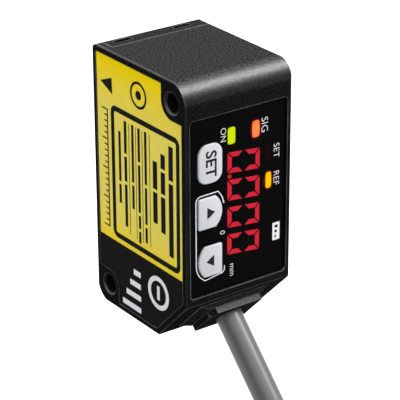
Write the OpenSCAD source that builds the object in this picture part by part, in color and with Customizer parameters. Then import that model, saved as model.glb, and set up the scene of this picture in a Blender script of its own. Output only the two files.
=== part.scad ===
// Compact laser displacement sensor: four-digit display, three keys, fixed cable.
// Millimetres, +Z up. The display faces -Y and the laser leaves towards +Y.
// The origin is midway between the two mounting holes, on the plain side of the case.

/* [Case] */
// Width of the case, along the mounting screws
body_w = 20; // [19:0.5:26]
// Depth of the case, from the display side to the laser side
body_d = 25; // [24.5:0.5:30]
// Height of the case
body_h = 44; // [43:0.5:52]
// Thickness of the top, bottom and chamfer walls
wall = 1.5; // [1.2:0.1:1.9]
// Thickness of the wall that carries the display panel
rear_wall = 2.3; // [2:0.1:2.7]
// Radius along the case's long edges
edge_r = 0.35; // [0.2:0.05:0.6]
// Radius where the front meets the top
front_top_r = 1.4; // [0.5:0.1:1.5]
// Leg of the 45 degree chamfer that carries the cable
chamfer = 7.8; // [7:0.1:8.5]

/* [Mounting holes] */
// Diameter of a mounting hole
hole_d = 3.2; // [2.6:0.1:3.6]
// Distance of a hole's axis from both of its outer faces
hole_inset = 3.5; // [3.2:0.1:3.9]
// Radius of the raised pad round a hole
pad_r = 2.75; // [2.4:0.05:3]
// Width of the countersunk edge of a hole
hole_edge = 0.25; // [0.1:0.05:0.4]

/* [Side labels] */
// Width of the raised rim round the labels
rim = 1.05; // [0.8:0.05:1.4]
// Depth of the labels' recess
label_depth = 0.25; // [0.15:0.05:0.4]
// Thickness of a label
label_t = 0.15; // [0.1:0.05:0.2]
// Height of the joint between the lower and the upper label
label_split = 12; // [10:0.5:20]
// Space between a label and the rim
label_gap = 0.1; // [0.05:0.05:0.2]

/* [Front cover] */
// Depth of the front cover
cover_d = 4; // [3.5:0.1:4.5]
// Width of the case wall beside the front cover
cover_side = 1.35; // [1:0.05:1.5]
// Height of the case below the front cover
cover_low = 7.6; // [7.2:0.1:8]
// Width of the cover's seat in the case
seat_w = 0.65; // [0.6:0.05:0.9]
// Width of the groove along the cover's joint
joint_w = 0.2; // [0.1:0.05:0.3]
// Length of a slot in the cover's top
slot_l = 3.1; // [2:0.1:4]
// Width of a slot in the cover's top
slot_w = 1.1; // [0.8:0.1:1.4]
// Depth of a slot in the cover's top
slot_depth = 0.9; // [0.5:0.1:1.1]
// Distance of a slot's middle from the case's middle
slot_out = 5.6; // [4:0.1:6.5]
// Thickness of a window pane
pane_t = 1; // [0.8:0.1:1.5]
// Side of the square emitter pane
emitter_pane = 7; // [6:0.2:8]
// Diameter of the emitter opening
emitter_open = 5; // [4:0.2:5.4]
// Width of the receiver pane
receiver_pane_w = 13; // [11:0.5:14]
// Height of the receiver pane
receiver_pane_h = 13; // [11:0.5:14]
// Width of the seat round a pane
pane_seat = 1; // [0.8:0.1:1.2]
// Space round a pane
pane_gap = 0.05; // [0.03:0.01:0.1]
// Width of the cover's gasket
gasket_w = 0.45; // [0.3:0.05:0.5]
// Thickness of the cover's gasket
gasket_t = 0.4; // [0.3:0.05:0.6]

/* [Optics] */
// Distance of the measured surface from the front of the case
ref_distance = 50; // [47:1:80]
// Depth of the beam's axis below the top of the case
emitter_drop = 5.7; // [5.6:0.1:6.2]
// Height of the receiver lens between the lower mounting hole and the beam, as a share
receiver_share = 0.3736; // [0.365:0.0002:0.385]
// Diameter of the receiver lens
lens_d = 7; // [6:0.1:7.2]
// Edge thickness of the receiver lens
lens_edge = 1.4; // [1:0.1:1.8]
// Radius of the receiver lens's two faces
lens_r = 9; // [7:0.5:14]
// Wall of the ring round the receiver lens
ring_wall = 0.7; // [0.5:0.1:0.9]
// Length of that ring
ring_l = 3.2; // [2.8:0.1:3.6]
// Diameter of the light path behind the receiver lens
light_d = 5.6; // [4.5:0.1:5.8]
// Diameter of the laser holder
holder_d = 7.2; // [6.8:0.1:7.4]
// Diameter of the laser holder's flange
flange_d = 8; // [7.8:0.1:8.2]
// Thickness of the laser holder's flange
flange_t = 0.8; // [0.6:0.1:0.9]
// Diameter of the laser diode's base
diode_d = 5.6; // [4.8:0.1:5.8]
// Diameter of the laser diode's cap
diode_cap_d = 3.5; // [3:0.1:4]
// Diameter of the projector lens
projector_d = 4.6; // [4.2:0.1:5]
// Edge thickness of the projector lens
projector_edge = 0.8; // [0.6:0.1:1.2]
// Radius of the projector lens's round face
projector_r = 4; // [3:0.2:6]
// Height of the image sensor
chip_h = 8; // [6:0.2:9]
// Width of the image sensor
chip_w = 5; // [4:0.2:8]
// Thickness of the image sensor
chip_t = 1.1; // [0.8:0.1:1.2]
// Space between optical pieces that slide into each other
fit_gap = 0.05; // [0.03:0.01:0.08]

/* [Boards] */
// Thickness of both circuit boards
board_t = 0.8; // [0.6:0.1:0.9]
// Distance of the display board from the rear face
display_board_y = 4.6; // [4.4:0.1:4.8]
// Space between the display board and the main board
board_space = 1.5; // [1.4:0.1:2]
// Side of the square processor
processor_w = 7; // [5:0.5:8]
// Thickness of the processor and of the laser driver
ic_t = 1; // [0.8:0.1:1.2]
// Diameter of a board screw
screw_d = 1.4; // [1.2:0.1:1.6]
// Length of a board screw below its head
screw_l = 5; // [4:0.5:6]

/* [Display panel] */
// Space between the panel and the edge of the case on either side
panel_side = 0.9; // [0.7:0.05:1.2]
// Height of the panel's lower edge
panel_low = 9.1; // [8.7:0.1:9.5]
// Distance of the panel's upper edge from the top of the case
panel_drop = 5.7; // [5.5:0.1:6.2]
// Thickness of the panel
panel_t = 0.9; // [0.7:0.1:1]
// Depth of the panel's surface below the rear face
panel_inset = 0.4; // [0.2:0.05:0.5]
// Radius of the panel's corners
panel_r = 0.7; // [0.5:0.1:1]
// Width of the panel's seat above and below
panel_seat = 1.1; // [0.9:0.1:1.2]
// Thickness of the sealing frame under the panel
seal_t = 0.2; // [0.1:0.05:0.25]
// Space between the panel and the case
panel_gap = 0.08; // [0.05:0.01:0.12]

/* [Digits] */
// Number of digits
digit_count = 4; // [2:1:4]
// Distance from one digit to the next, down the panel
digit_pitch = 4.55; // [4.2:0.05:4.7]
// Height of a digit, across the panel
digit_h = 6.1; // [5.2:0.1:6.4]
// Width of a digit, down the panel
digit_w = 3.4; // [3:0.1:3.6]
// Width of a lit segment
segment_w = 0.75; // [0.5:0.05:0.9]
// Lean of the digits in degrees
digit_lean = 6; // [0:1:8]

/* [Keys] */
// Width of every key, across the panel
key_w = 4.5; // [4:0.1:4.7]
// Height of the set key
set_key_h = 6.4; // [5.5:0.1:6.8]
// Corner radius of the set key
set_key_r = 1.7; // [1:0.1:2]
// Height of the up and the down key
arrow_key_h = 5.2; // [4.6:0.1:5.6]
// Radius of the round side of the up and the down key
arrow_key_r = 3.4; // [3.2:0.1:5]
// Distance of the keys' middle line from the panel's middle line
key_out = 5.25; // [5:0.05:5.5]
// Stroke of a key
key_stroke = 0.25; // [0.15:0.01:0.28]
// Height of a key above the panel's surface
key_proud = 0.2; // [0.1:0.05:0.3]
// Space round a key in the panel
key_gap = 0.12; // [0.08:0.01:0.2]

/* [Cable] */
// Diameter of the cable
cable_d = 4.4; // [4:0.1:4.6]
// Width of the outlet block across the case
gland_w = 9.8; // [9:0.1:11]
// Height of the outlet block along the chamfer
gland_h = 7.2; // [6.6:0.1:7.6]
// Thickness of the outlet block
gland_t = 1; // [0.8:0.1:1.4]
// Thickness of the sloped foot under the outlet block
foot_t = 0.75; // [0.5:0.05:1]
// How far the foot spreads beyond the block on either side
foot_spread = 1.7; // [1:0.1:2]
// Diameter of the outlet's neck in the case
neck_d = 6.6; // [6.2:0.1:7]
// Diameter of the seal round the neck
seal_d = 7.8; // [7.6:0.1:8.2]
// Space round the cable in the outlet
cable_gap = 0.05; // [0.03:0.01:0.1]
// Number of wires in the cable
core_count = 5; // [3:1:5]
// Diameter of a wire
core_d = 1.1; // [0.8:0.05:1.2]

/* [Hidden] */
eps = 0.01;
$fn = 48;
mid_x = body_w / 2;

// Holes, seen from the side
hole_y = hole_inset;
hole_z = body_h - hole_inset;

// Front cover and windows
cover_y = body_d - cover_d;
side_wall = cover_side + seat_w;
sill_top = cover_low + seat_w;
slot_y = cover_y + joint_w + 1.72;
emitter_z = body_h - emitter_drop;
room_top = body_h - wall;
sill_y = cover_y - 3;
room_w = body_w - 2 * side_wall;

// Boards, counted from the display side, and the optical base in front of them
main_board_y = display_board_y + board_t + board_space;
main_front = main_board_y + board_t;
sensor_y = main_front + chip_t;
base_gap = 0.7;
base_y = sensor_y + base_gap;

// Triangulation: the lens looks at the spot at the reference distance, and an upright image sensor
// is in focus along the whole beam where the lens's plane and the beam meet. The lens's distance
// from the sensor is the one at which both hold.
receiver_z = hole_inset + receiver_share * (emitter_z - hole_inset);
baseline = emitter_z - receiver_z;
spot_l = ref_distance + body_d - sensor_y;
lens_l = (spot_l - sqrt(spot_l * spot_l - 4 * baseline * baseline)) / 2;
lens_y = sensor_y + lens_l;
tilt = atan(baseline / (spot_l - lens_l));
sensor_z = receiver_z - lens_l * tan(tilt);
receiver_pane_z = receiver_z + (body_d - lens_y) * tan(tilt);

// Pieces on the boards and in the optical base
ring_d = lens_d + 2 * (fit_gap + ring_wall);
ring_back = ring_l * 0.62;
lens_lip = 0.5;
connector_size = [10, 2.2];
screw_head_d = 2.4;
screw_head_t = 0.7;
core_low = receiver_z + 3.3;
core_top = emitter_z - holder_d / 2 - 2.2;
screw_spots = [[side_wall + 2.2, core_top], [body_w - side_wall - 2.2, core_low - 1]];
web = 2;
board_gap = 0.3;
main_low = sensor_z - chip_h / 2 - 0.6;

// The processor and the laser driver share the board's free height between sensor and laser
driver_size = [4, 3];
chips_low = sensor_z + chip_h / 2;
chips_free = emitter_z - flange_d / 2 - chips_low - processor_w - driver_size.y;
processor_z = chips_low + 0.7384 * chips_free + processor_w / 2;
driver_z = processor_z + (processor_w + driver_size.y) / 2 + 0.1308 * chips_free;

holder_y = base_y - flange_t;
holder_l = cover_y - holder_y - 0.4;
diode_t = 1.2;
diode_cap_l = 2.2;
pin_ring = 1.27;
pin_d = 0.45;
projector_at = holder_l - projector_edge - 1.2;

// Display panel and what shines or moves in it
panel_top = body_h - panel_drop;
panel_back = panel_inset + panel_t;
seat_y = panel_back + seal_t;
open_low = panel_low + panel_seat;
open_top = panel_top - panel_seat;
open_h = open_top - open_low;
display_x = mid_x + 1.1;
display_front = seat_y + 0.05;
segment_t = 0.12;
display_margin = 0.5;
wide_pipe = [1.4, 2.7];
slim_pipe = [1.05, 2.65];
key_x = mid_x - key_out;

// The height that the keys leave free goes below, between and above them in these shares
key_free = open_h - set_key_h - 2 * arrow_key_h;
down_key_z = open_low + 0.1716 * key_free + arrow_key_h / 2;
up_key_z = down_key_z + arrow_key_h + 0.2892 * key_free;
set_key_z = up_key_z + (arrow_key_h + set_key_h) / 2 + 0.2206 * key_free;

// The same for the display with the two wide lights above it
display_l = digit_count * digit_pitch + 2 * display_margin;
light_free = open_h - display_l - wide_pipe.y;
display_z = open_low + 0.598 * light_free + display_l / 2;
wide_pipe_z = display_z + (display_l + wide_pipe.y) / 2 + 0.098 * light_free;
slim_pipe_z = [open_low + 0.7222 * open_h, open_low + 0.5556 * open_h];

key_flange_t = 0.5;
key_flange_w = 3;
key_flange_over = 0.6;
key_stem_d = 1.4;
switch_gap = key_stroke + 0.07;
switch_w = 3;
switch_h = 2.6;
plunger_d = 1.3;
plunger_l = 0.4;
switch_t = 1.3;
switch_tip = display_board_y - switch_t - plunger_l;
key_back_gap = 0.05;
pipe_gap = 0.04;
pipe_r = 0.35;
laser_pipe = [display_x - 2.3, wide_pipe_z];
output_pipe = [display_x + 2.3, wide_pipe_z];
slim_pipe_x = display_x + 4.8;
set_pipe = [slim_pipe_x, slim_pipe_z[0]];
zero_pipe = [slim_pipe_x, slim_pipe_z[1]];

// Cable outlet, in the chamfer's own axes
chamfer_mid = chamfer / 2;
neck_l = wall + 0.1;
neck_gap = 0.05;
seal_cord = (seal_d - neck_d) / 2;
notch_w = 1;
notch_h = 1.3;
crimp_l = 1.6;
crimp_t = 0.6;
cable_in = neck_l + crimp_l + 0.1;
core_ring = 1.25;
core_l = 1;
plug_w = 6;
plug_gap = 0.2;
plug_front = 0.9;
plug_grip = 1.2;

// Cable: straight out of the case, one bend, then a tied coil on the floor
straight_out = 22.5;
tie_t = 0.5;
tie_w = 5;
strand = 4.45;
coil_rows = 4;
coil_cols = 3;
coil_mid_r = 26.7;
coil_r = coil_mid_r + strand;
coil_bottom = -34;
coil_y = -40;
coil_x = mid_x - coil_r;
coil_top = coil_bottom + cable_d + (coil_rows - 1) * strand;
entry_z = coil_top - cable_d / 2;
bend_from = chamfer_mid - straight_out * sqrt(0.5);
bend_r = (bend_from - entry_z) / (1 - sqrt(0.5));
tail_x = coil_x - coil_r;
tail_z = coil_bottom + cable_d / 2;
tail_l = 24;
tail_end = coil_y + tail_l;
lead_l = 30;
lead_fan = 7;

// Colours
charcoal = [0.16, 0.16, 0.17];
gloss_black = [0.03, 0.03, 0.035];
tinted = [0.05, 0.05, 0.06, 0.7];
yellow = [0.9, 0.8, 0.1];
silver_white = [0.85, 0.86, 0.88];
cable_grey = [0.55, 0.56, 0.57];
rubber_black = [0.08, 0.08, 0.08];
board_green = [0.08, 0.3, 0.16];
glass_blue = [0.75, 0.85, 0.9, 0.6];
steel = [0.7, 0.7, 0.72];
brass = [0.75, 0.6, 0.3];
red = [0.8, 0.1, 0.18];

// Piece to build

// Places everything so that the origin is midway between the mounting holes
module in_frame() {
    translate([-body_w, -body_d / 2, -body_h / 2])
        children();
}

// Extrudes a (y, z) outline along +X
module along_x(length) {
    rotate([90, 0, 90])
        linear_extrude(length)
            children();
}

// Extrudes an (x, z) outline along +Y, starting at y
module along_y(y, length) {
    translate([0, y + length, 0])
        rotate([90, 0, 0])
            linear_extrude(length)
                children();
}

// Puts a piece with its own +Z axis along +Y
module facing_front(x, y, z) {
    translate([x, y, z])
        rotate([-90, 0, 0])
            children();
}

// Puts a piece on the receiver lens's tilted axis, +Z towards the measured spot
module on_lens_axis() {
    translate([mid_x, lens_y, receiver_z])
        rotate([tilt - 90, 0, 0])
            children();
}

// Puts a piece on the chamfer: +Z outwards, +Y up along the chamfer
module on_chamfer() {
    translate([mid_x, chamfer_mid, chamfer_mid])
        rotate([135, 0, 0])
            children();
}

module rounded_rect(low, high, r) {
    size = high - low;
    translate([low.x + r, low.y])
        square([size.x - 2 * r, size.y]);
    translate([low.x, low.y + r])
        square([size.x, size.y - 2 * r]);
    for (x = [low.x + r, high.x - r], y = [low.y + r, high.y - r])
        translate([x, y])
            circle(r);
}

module rounded_at(middle, size, r) {
    rounded_rect(middle - size / 2, middle + size / 2, r);
}

// What a corner of radius r loses, with the outline shrunk by inset
module corner_cut(corner, way, r, inset) {
    reach = r + 1;
    translate([corner.x + way.x * r, corner.y + way.y * r])
        difference() {
            translate([way.x > 0 ? -reach : 0, way.y > 0 ? -reach : 0])
                square(reach);
            circle(r - inset);
        }
}

// The case seen from the side, in (y, z), shrunk by an even inset
module side_outline(inset) {
    cut = chamfer + inset * sqrt(2);
    difference() {
        translate([inset, inset])
            square([body_d - 2 * inset, body_h - 2 * inset]);
        corner_cut([0, body_h], [1, -1], hole_inset, inset);
        corner_cut([body_d, 0], [-1, 1], hole_inset, inset);
        if (front_top_r > inset)
            corner_cut([body_d, body_h], [-1, -1], front_top_r, inset);
        polygon([[-1, -1], [cut + 1, -1], [-1, cut + 1]]);
    }
}

// The upper hole's things, and the same turned over for the lower hole
module both_holes() {
    children();
    translate([body_d, body_h])
        rotate(180)
            children();
}

// A pad of radius r round the upper hole, out to the case's corner
module corner_pad(r) {
    translate([hole_y, hole_z])
        circle(r);
    translate([-1, hole_z])
        square([hole_y + r + 1, hole_inset + 1]);
    translate([-1, hole_z - r])
        square([hole_y + 1, hole_inset + r + 1]);
}

module case_block() {
    intersection() {
        along_x(body_w)
            side_outline(0);
        along_y(0, body_d)
            rounded_rect([0, 0], [body_w, body_h], edge_r);
        linear_extrude(body_h)
            rounded_rect([0, 0], [body_w, body_d], edge_r);
    }
}

module cover_space(back) {
    translate([cover_side, cover_y + back, cover_low])
        cube([body_w, body_d, body_h]);
}

module room() {
    translate([side_wall, 0, 0])
        along_x(room_w)
            difference() {
                intersection() {
                    side_outline(wall);
                    translate([rear_wall, 0])
                        square([cover_y - rear_wall + eps, body_h]);
                }
                both_holes()
                    corner_pad(pad_r + 0.4);
                translate([sill_y, 0])
                    square([body_d, sill_top]);
            }
}

module label_outline(inset) {
    difference() {
        side_outline(rim + inset);
        both_holes()
            corner_pad(pad_r + inset);
    }
}

module mounting_holes() {
    along_x(body_w)
        both_holes()
            translate([hole_y, hole_z])
                circle(hole_d / 2);
    for (at = [[hole_y, hole_z], [body_d - hole_y, body_h - hole_z]], side = [0, 1])
        translate([side * body_w, at.x, at.y])
            rotate([0, 90 - 180 * side, 0])
                translate([0, 0, -eps])
                    cylinder(hole_edge + eps, hole_d / 2 + hole_edge + eps, hole_d / 2);
}

// Die-cast body
module case() {
    color(charcoal)
        difference() {
            case_block();
            cover_space(0);
            room();
            along_y(-1, seat_y + 1)
                rounded_rect([panel_side - panel_gap, panel_low - panel_gap],
                    [body_w - panel_side + panel_gap, panel_top + panel_gap], panel_r);
            along_y(-1, rear_wall + 1 + eps)
                rounded_rect([side_wall, open_low], [body_w - side_wall, open_top], 0.5);
            translate([-1, 0, 0])
                along_x(label_depth + 1)
                    label_outline(0);
            mounting_holes();
            on_chamfer() {
                translate([0, 0, -neck_l - 2])
                    cylinder(neck_l + 3, d = neck_d + 2 * neck_gap);
                translate([0, 0, -seal_cord])
                    cylinder(seal_cord + 1, d = seal_d);
            }
        }
}

// Cover over the optics, bonded into the front of the case
module front_cover() {
    color(charcoal)
        difference() {
            intersection() {
                case_block();
                cover_space(0);
            }
            difference() {
                translate([-1, cover_y - 1, cover_low - 1])
                    cube([body_w + 2, joint_w + 1, body_h]);
                translate([0, cover_y - 2, 0])
                    cube([body_w - joint_w, cover_d, body_h - joint_w]);
            }
            for (way = [-1, 1])
                translate([mid_x + way * slot_out, slot_y, body_h - slot_depth])
                    linear_extrude(slot_depth + 1)
                        rounded_at([0, 0], [slot_l, slot_w], 0.2);
            gasket_ring(cover_y - eps, gasket_t + eps);
            facing_front(mid_x, cover_y - 1, emitter_z)
                cylinder(cover_d + 2, d = emitter_open);
            along_y(body_d - pane_t, pane_t + 1)
                pane_outline(emitter_z, emitter_pane, emitter_pane, 0);
            along_y(body_d - pane_t, pane_t + 1)
                pane_outline(receiver_pane_z, receiver_pane_w, receiver_pane_h, 0);
            along_y(cover_y - 1, cover_d + 2)
                pane_outline(receiver_pane_z, receiver_pane_w, receiver_pane_h, pane_seat);
            intersection() {
                lens_path();
                cube([body_w, body_d - pane_t, body_h]);
            }
        }
}

module pane_outline(z, w, h, inset) {
    rounded_at([mid_x, z], [w - 2 * inset, h - 2 * inset], 0.8);
}

// Ring on the cover's seat, round the mouth of the room
module gasket_ring(y, length) {
    out = seat_w - 0.05;
    low = [side_wall - out, sill_top - out];
    high = [body_w - side_wall + out, room_top + out];
    along_y(y, length)
        difference() {
            rounded_rect(low, high, 0.6);
            rounded_rect(low + [gasket_w, gasket_w], high - [gasket_w, gasket_w], 0.3);
        }
}

module front_gasket() {
    color(rubber_black)
        gasket_ring(cover_y, gasket_t);
}

module emitter_window() {
    color(tinted)
        along_y(body_d - pane_t, pane_t)
            pane_outline(emitter_z, emitter_pane, emitter_pane, pane_gap);
}

module receiver_window() {
    color(tinted)
        along_y(body_d - pane_t, pane_t)
            pane_outline(receiver_pane_z, receiver_pane_w, receiver_pane_h, pane_gap);
}

// Bore for the receiver lens's ring and the light in front of it
module lens_path() {
    on_lens_axis()
        translate([0, 0, -ring_back])
            cylinder(body_d, d = ring_d + 2 * fit_gap);
}

// Block that holds the laser and the receiver lens in line with each other
module optical_base() {
    depth = cover_y - base_y;
    color(rubber_black)
        difference() {
            union() {
                translate([side_wall, base_y, sill_top])
                    cube([room_w, depth, room_top - sill_top]);
                for (at = screw_spots)
                    facing_front(at.x, main_front, at.y)
                        cylinder(base_y - main_front + eps, d = screw_d + 2);
            }
            facing_front(mid_x, base_y - 1, emitter_z)
                cylinder(depth + 2, d = holder_d + 2 * fit_gap);
            lens_path();
            on_lens_axis()
                translate([0, 0, -body_d / 2])
                    cylinder(body_d / 2, d = light_d);
            translate([side_wall + web, base_y - 1, core_low])
                cube([room_w - 2 * web, depth / 3 + 1, core_top - core_low]);
            translate([side_wall + web, cover_y - depth / 3, core_low + web])
                cube([room_w - 2 * web, depth / 3 + 1, core_top - core_low - web]);
            for (at = screw_spots)
                facing_front(at.x, main_front - 1, at.y)
                    cylinder(screw_l + 1, d = screw_d + 2 * fit_gap);
        }
}

// Barrel of the laser, with the diode behind and its lens in front
module laser_holder() {
    color(brass)
        facing_front(mid_x, holder_y, emitter_z)
            rotate_extrude()
                polygon([
                    [diode_d / 2 + fit_gap, 0],
                    [flange_d / 2, 0],
                    [flange_d / 2, flange_t],
                    [holder_d / 2, flange_t],
                    [holder_d / 2, holder_l],
                    [projector_d / 2 + fit_gap, holder_l],
                    [projector_d / 2 + fit_gap, projector_at],
                    [diode_cap_d / 2 + 0.15, projector_at],
                    [diode_cap_d / 2 + 0.15, diode_t],
                    [diode_d / 2 + fit_gap, diode_t]
                ]);
}

module laser_diode() {
    color(steel) {
        facing_front(mid_x, holder_y, emitter_z) {
            cylinder(diode_t, d = diode_d);
            cylinder(diode_t + diode_cap_l, d = diode_cap_d);
        }
        for (turn = [90, 210, 330])
            facing_front(mid_x + pin_ring * cos(turn), main_front, emitter_z + pin_ring * sin(turn))
                cylinder(holder_y - main_front + eps, d = pin_d, $fn = 12);
    }
}

// Half of a lens's section: a rim of even thickness with a round face above it
module lens_half(d, clear_d, edge, face_r) {
    square([d / 2, edge]);
    intersection() {
        square([clear_d / 2, face_r]);
        translate([0, edge - sqrt(face_r * face_r - clear_d * clear_d / 4)])
            circle(face_r, $fn = 96);
    }
}

module projector_lens() {
    color(glass_blue)
        facing_front(mid_x, holder_y + projector_at, emitter_z)
            rotate_extrude()
                lens_half(projector_d, projector_d, projector_edge, projector_r);
}

module lens_ring() {
    color(rubber_black)
        on_lens_axis()
            rotate_extrude()
                polygon([
                    [lens_d / 2 - lens_lip, -ring_back],
                    [ring_d / 2, -ring_back],
                    [ring_d / 2, ring_l - ring_back],
                    [lens_d / 2 + fit_gap, ring_l - ring_back],
                    [lens_d / 2 + fit_gap, -lens_edge / 2],
                    [lens_d / 2 - lens_lip, -lens_edge / 2]
                ]);
}

module receiver_lens() {
    clear_d = lens_d - 2 * lens_lip - 0.2;
    color(glass_blue)
        on_lens_axis()
            rotate_extrude() {
                lens_half(lens_d, clear_d, lens_edge / 2, lens_r);
                mirror([0, 1])
                    lens_half(lens_d, clear_d, lens_edge / 2, lens_r);
            }
}

// Line of pixels behind a cover glass, upright on the main board
module image_sensor() {
    color(gloss_black)
        difference() {
            along_y(main_front, chip_t)
                rounded_at([mid_x, sensor_z], [chip_w, chip_h], 0.2);
            along_y(sensor_y - 0.2, 1)
                rounded_at([mid_x, sensor_z], [chip_w / 3, chip_h - 1.2], 0.1);
        }
}

module board_outline(low, high) {
    translate([side_wall, low])
        square([room_w, high - low]);
}

module main_board() {
    color(board_green)
        along_y(main_board_y, board_t)
            difference() {
                board_outline(main_low, room_top - board_gap);
                for (at = screw_spots)
                    translate(at)
                        circle(screw_d / 2 + fit_gap);
            }
}

// A flat chip package with a corner mark
module chip(middle, w, h) {
    difference() {
        along_y(main_front, ic_t)
            rounded_at(middle, [w, h], 0.15);
        facing_front(middle.x - w / 2 + 0.8, main_front + ic_t - 0.15, middle.y + h / 2 - 0.8)
            cylinder(1, d = 0.7, $fn = 16);
    }
}

module processor() {
    color(gloss_black)
        chip([mid_x, processor_z], processor_w, processor_w);
}

module laser_driver() {
    color(gloss_black)
        chip([mid_x, driver_z], driver_size.x, driver_size.y);
}

module board_screws() {
    color(steel)
        for (at = screw_spots)
            facing_front(at.x, main_board_y - screw_head_t, at.y)
                difference() {
                    union() {
                        cylinder(screw_head_t, d = screw_head_d);
                        cylinder(screw_head_t + board_t + screw_l - 0.3, d = screw_d);
                    }
                    translate([0, 0, -eps])
                        cylinder(screw_head_t / 2, d = 1.1, $fn = 6);
                }
}

module board_connector() {
    color([0.9, 0.88, 0.8])
        along_y(display_board_y + board_t, main_board_y - display_board_y - board_t)
            rounded_at([mid_x, open_top - board_gap - 1.5], connector_size, 0.2);
}

module display_board() {
    color(board_green)
        along_y(display_board_y, board_t)
            board_outline(open_low - 0.7, open_top - board_gap);
}

// Body of the four-digit display
module digit_display() {
    size = [digit_h + 2 * display_margin, display_l];
    color(gloss_black)
        along_y(display_front, display_board_y - display_front)
            rounded_at([display_x, display_z], size, 0.3);
}

// Place of a point of a digit: u in reading order, v up; the digits read from top to bottom
function on_digit(u, v, z) = [display_x + v, z - u - v * tan(digit_lean)];

module segment(u, v, length, upright, z) {
    half = segment_w / 2;
    tip = length / 2;
    ends = [[-tip, 0], [half - tip, half], [tip - half, half],
        [tip, 0], [tip - half, -half], [half - tip, -half]];
    polygon([for (p = ends) upright ? on_digit(u + p.y, v + p.x, z) : on_digit(u + p.x, v + p.y, z)]);
}

module digit(z) {
    across = (digit_w - segment_w) / 2;
    up = (digit_h - segment_w) / 2;
    for (v = [-up, 0, up])
        segment(0, v, 2 * across - 0.12, false, z);
    for (u = [-across, across], v = [-up / 2, up / 2])
        segment(u, v, up - 0.12, true, z);
}

module digit_segments() {
    first = display_z + (digit_count - 1) / 2 * digit_pitch;
    color(red)
        along_y(display_front - segment_t, segment_t) {
            for (i = [0:digit_count - 1])
                digit(first - i * digit_pitch);
            translate(on_digit(digit_pitch / 2, (segment_w - digit_h) / 2, first))
                circle(segment_w * 0.45, $fn = 20);
        }
}

module tact_switches() {
    color(steel)
        for (z = [set_key_z, up_key_z, down_key_z]) {
            along_y(display_board_y - switch_t, switch_t)
                rounded_at([key_x, z], [switch_w, switch_h], 0.3);
            facing_front(key_x, display_board_y - switch_t - plunger_l, z)
                cylinder(plunger_l + eps, d = plunger_d);
        }
}

module set_key_outline(grow) {
    rounded_at([key_x, set_key_z], [key_w + 2 * grow, set_key_h + 2 * grow], set_key_r + grow);
}

// A key with one round side; way is 1 where that side looks to +X
module arrow_key_outline(z, way, grow) {
    translate([key_x, z])
        intersection() {
            square([key_w + 2 * grow, arrow_key_h + 2 * grow], center = true);
            translate([way * (key_w / 2 - arrow_key_r), 0])
                circle(arrow_key_r + grow, $fn = 96);
        }
}

// A key's cap comes as a child; a flange keeps it under the panel and a stem meets its switch
module key_body(z, h) {
    back = panel_back + key_back_gap;
    color(silver_white) {
        along_y(panel_inset - key_proud, back - panel_inset + key_proud)
            children();
        along_y(back - eps, key_flange_t)
            rounded_at([key_x, z], [key_flange_w, h + 2 * key_flange_over], 0.4);
        facing_front(key_x, back, z)
            cylinder(switch_tip - switch_gap - back, d = key_stem_d);
    }
}

module set_key() {
    key_body(set_key_z, set_key_h)
        set_key_outline(0);
}

module up_key() {
    key_body(up_key_z, arrow_key_h)
        arrow_key_outline(up_key_z, 1, 0);
}

module down_key() {
    key_body(down_key_z, arrow_key_h)
        arrow_key_outline(down_key_z, -1, 0);
}

// Light guide from the display board to the panel's surface
module light_guide(middle, size, grow, y, length) {
    along_y(y, length)
        rounded_at(middle, size + 2 * [grow, grow], pipe_r + grow);
}

module indicator(middle, size) {
    light_guide(middle, size, 0, panel_inset, display_board_y - panel_inset);
}

module laser_indicator() {
    color([0.8, 0.88, 0])
        indicator(laser_pipe, wide_pipe);
}

module output_indicator() {
    color([0.94, 0.55, 0.27])
        indicator(output_pipe, wide_pipe);
}

module set_indicator() {
    color([0.12, 0.03, 0.03])
        indicator(set_pipe, slim_pipe);
}

module zero_indicator() {
    color([1, 0.75, 0])
        indicator(zero_pipe, slim_pipe);
}

module display_panel() {
    color(tinted)
        difference() {
            along_y(panel_inset, panel_t)
                difference() {
                    rounded_rect([panel_side, panel_low], [body_w - panel_side, panel_top], panel_r);
                    set_key_outline(key_gap);
                    arrow_key_outline(up_key_z, 1, key_gap);
                    arrow_key_outline(down_key_z, -1, key_gap);
                }
            for (at = [laser_pipe, output_pipe])
                light_guide(at, wide_pipe, pipe_gap, panel_inset - 1, panel_t + 2);
            for (at = [set_pipe, zero_pipe])
                light_guide(at, slim_pipe, pipe_gap, panel_inset - 1, panel_t + 2);
        }
}

// Sealing frame between the panel and its seat
module panel_seal() {
    color(rubber_black)
        along_y(panel_back, seal_t)
            difference() {
                rounded_rect([panel_side, panel_low], [body_w - panel_side, panel_top], panel_r);
                rounded_rect([side_wall, open_low], [body_w - side_wall, open_top], 0.5);
            }
}

module label(low, high) {
    translate([label_depth - label_t, 0, 0])
        along_x(label_t)
            intersection() {
                label_outline(label_gap);
                translate([0, low])
                    square([body_d, high - low]);
            }
}

module yellow_label() {
    color(yellow)
        label(label_split, body_h);
}

module lower_label() {
    color(gloss_black)
        label(0, label_split);
}

// Cable outlet: a neck in the case, a sloped foot on the chamfer and a notched block
module cable_gland() {
    foot = [gland_w + 2 * foot_spread, gland_h + 1];
    color(rubber_black)
        on_chamfer()
            difference() {
                union() {
                    translate([0, 0, -neck_l])
                        cylinder(neck_l + eps, d = neck_d);
                    linear_extrude(foot_t, scale = [gland_w / foot.x, gland_h / foot.y])
                        square(foot, center = true);
                    translate([0, 0, foot_t - eps])
                        linear_extrude(gland_t + eps)
                            difference() {
                                rounded_at([0, 0], [gland_w, gland_h], 0.5);
                                translate([-gland_w / 2 - 1, gland_h / 2 - notch_h])
                                    square([notch_w + 1, notch_h + 1]);
                            }
                }
                translate([0, 0, -neck_l - 1])
                    cylinder(neck_l + foot_t + gland_t + 2, d = cable_d + 2 * cable_gap);
            }
}

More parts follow.
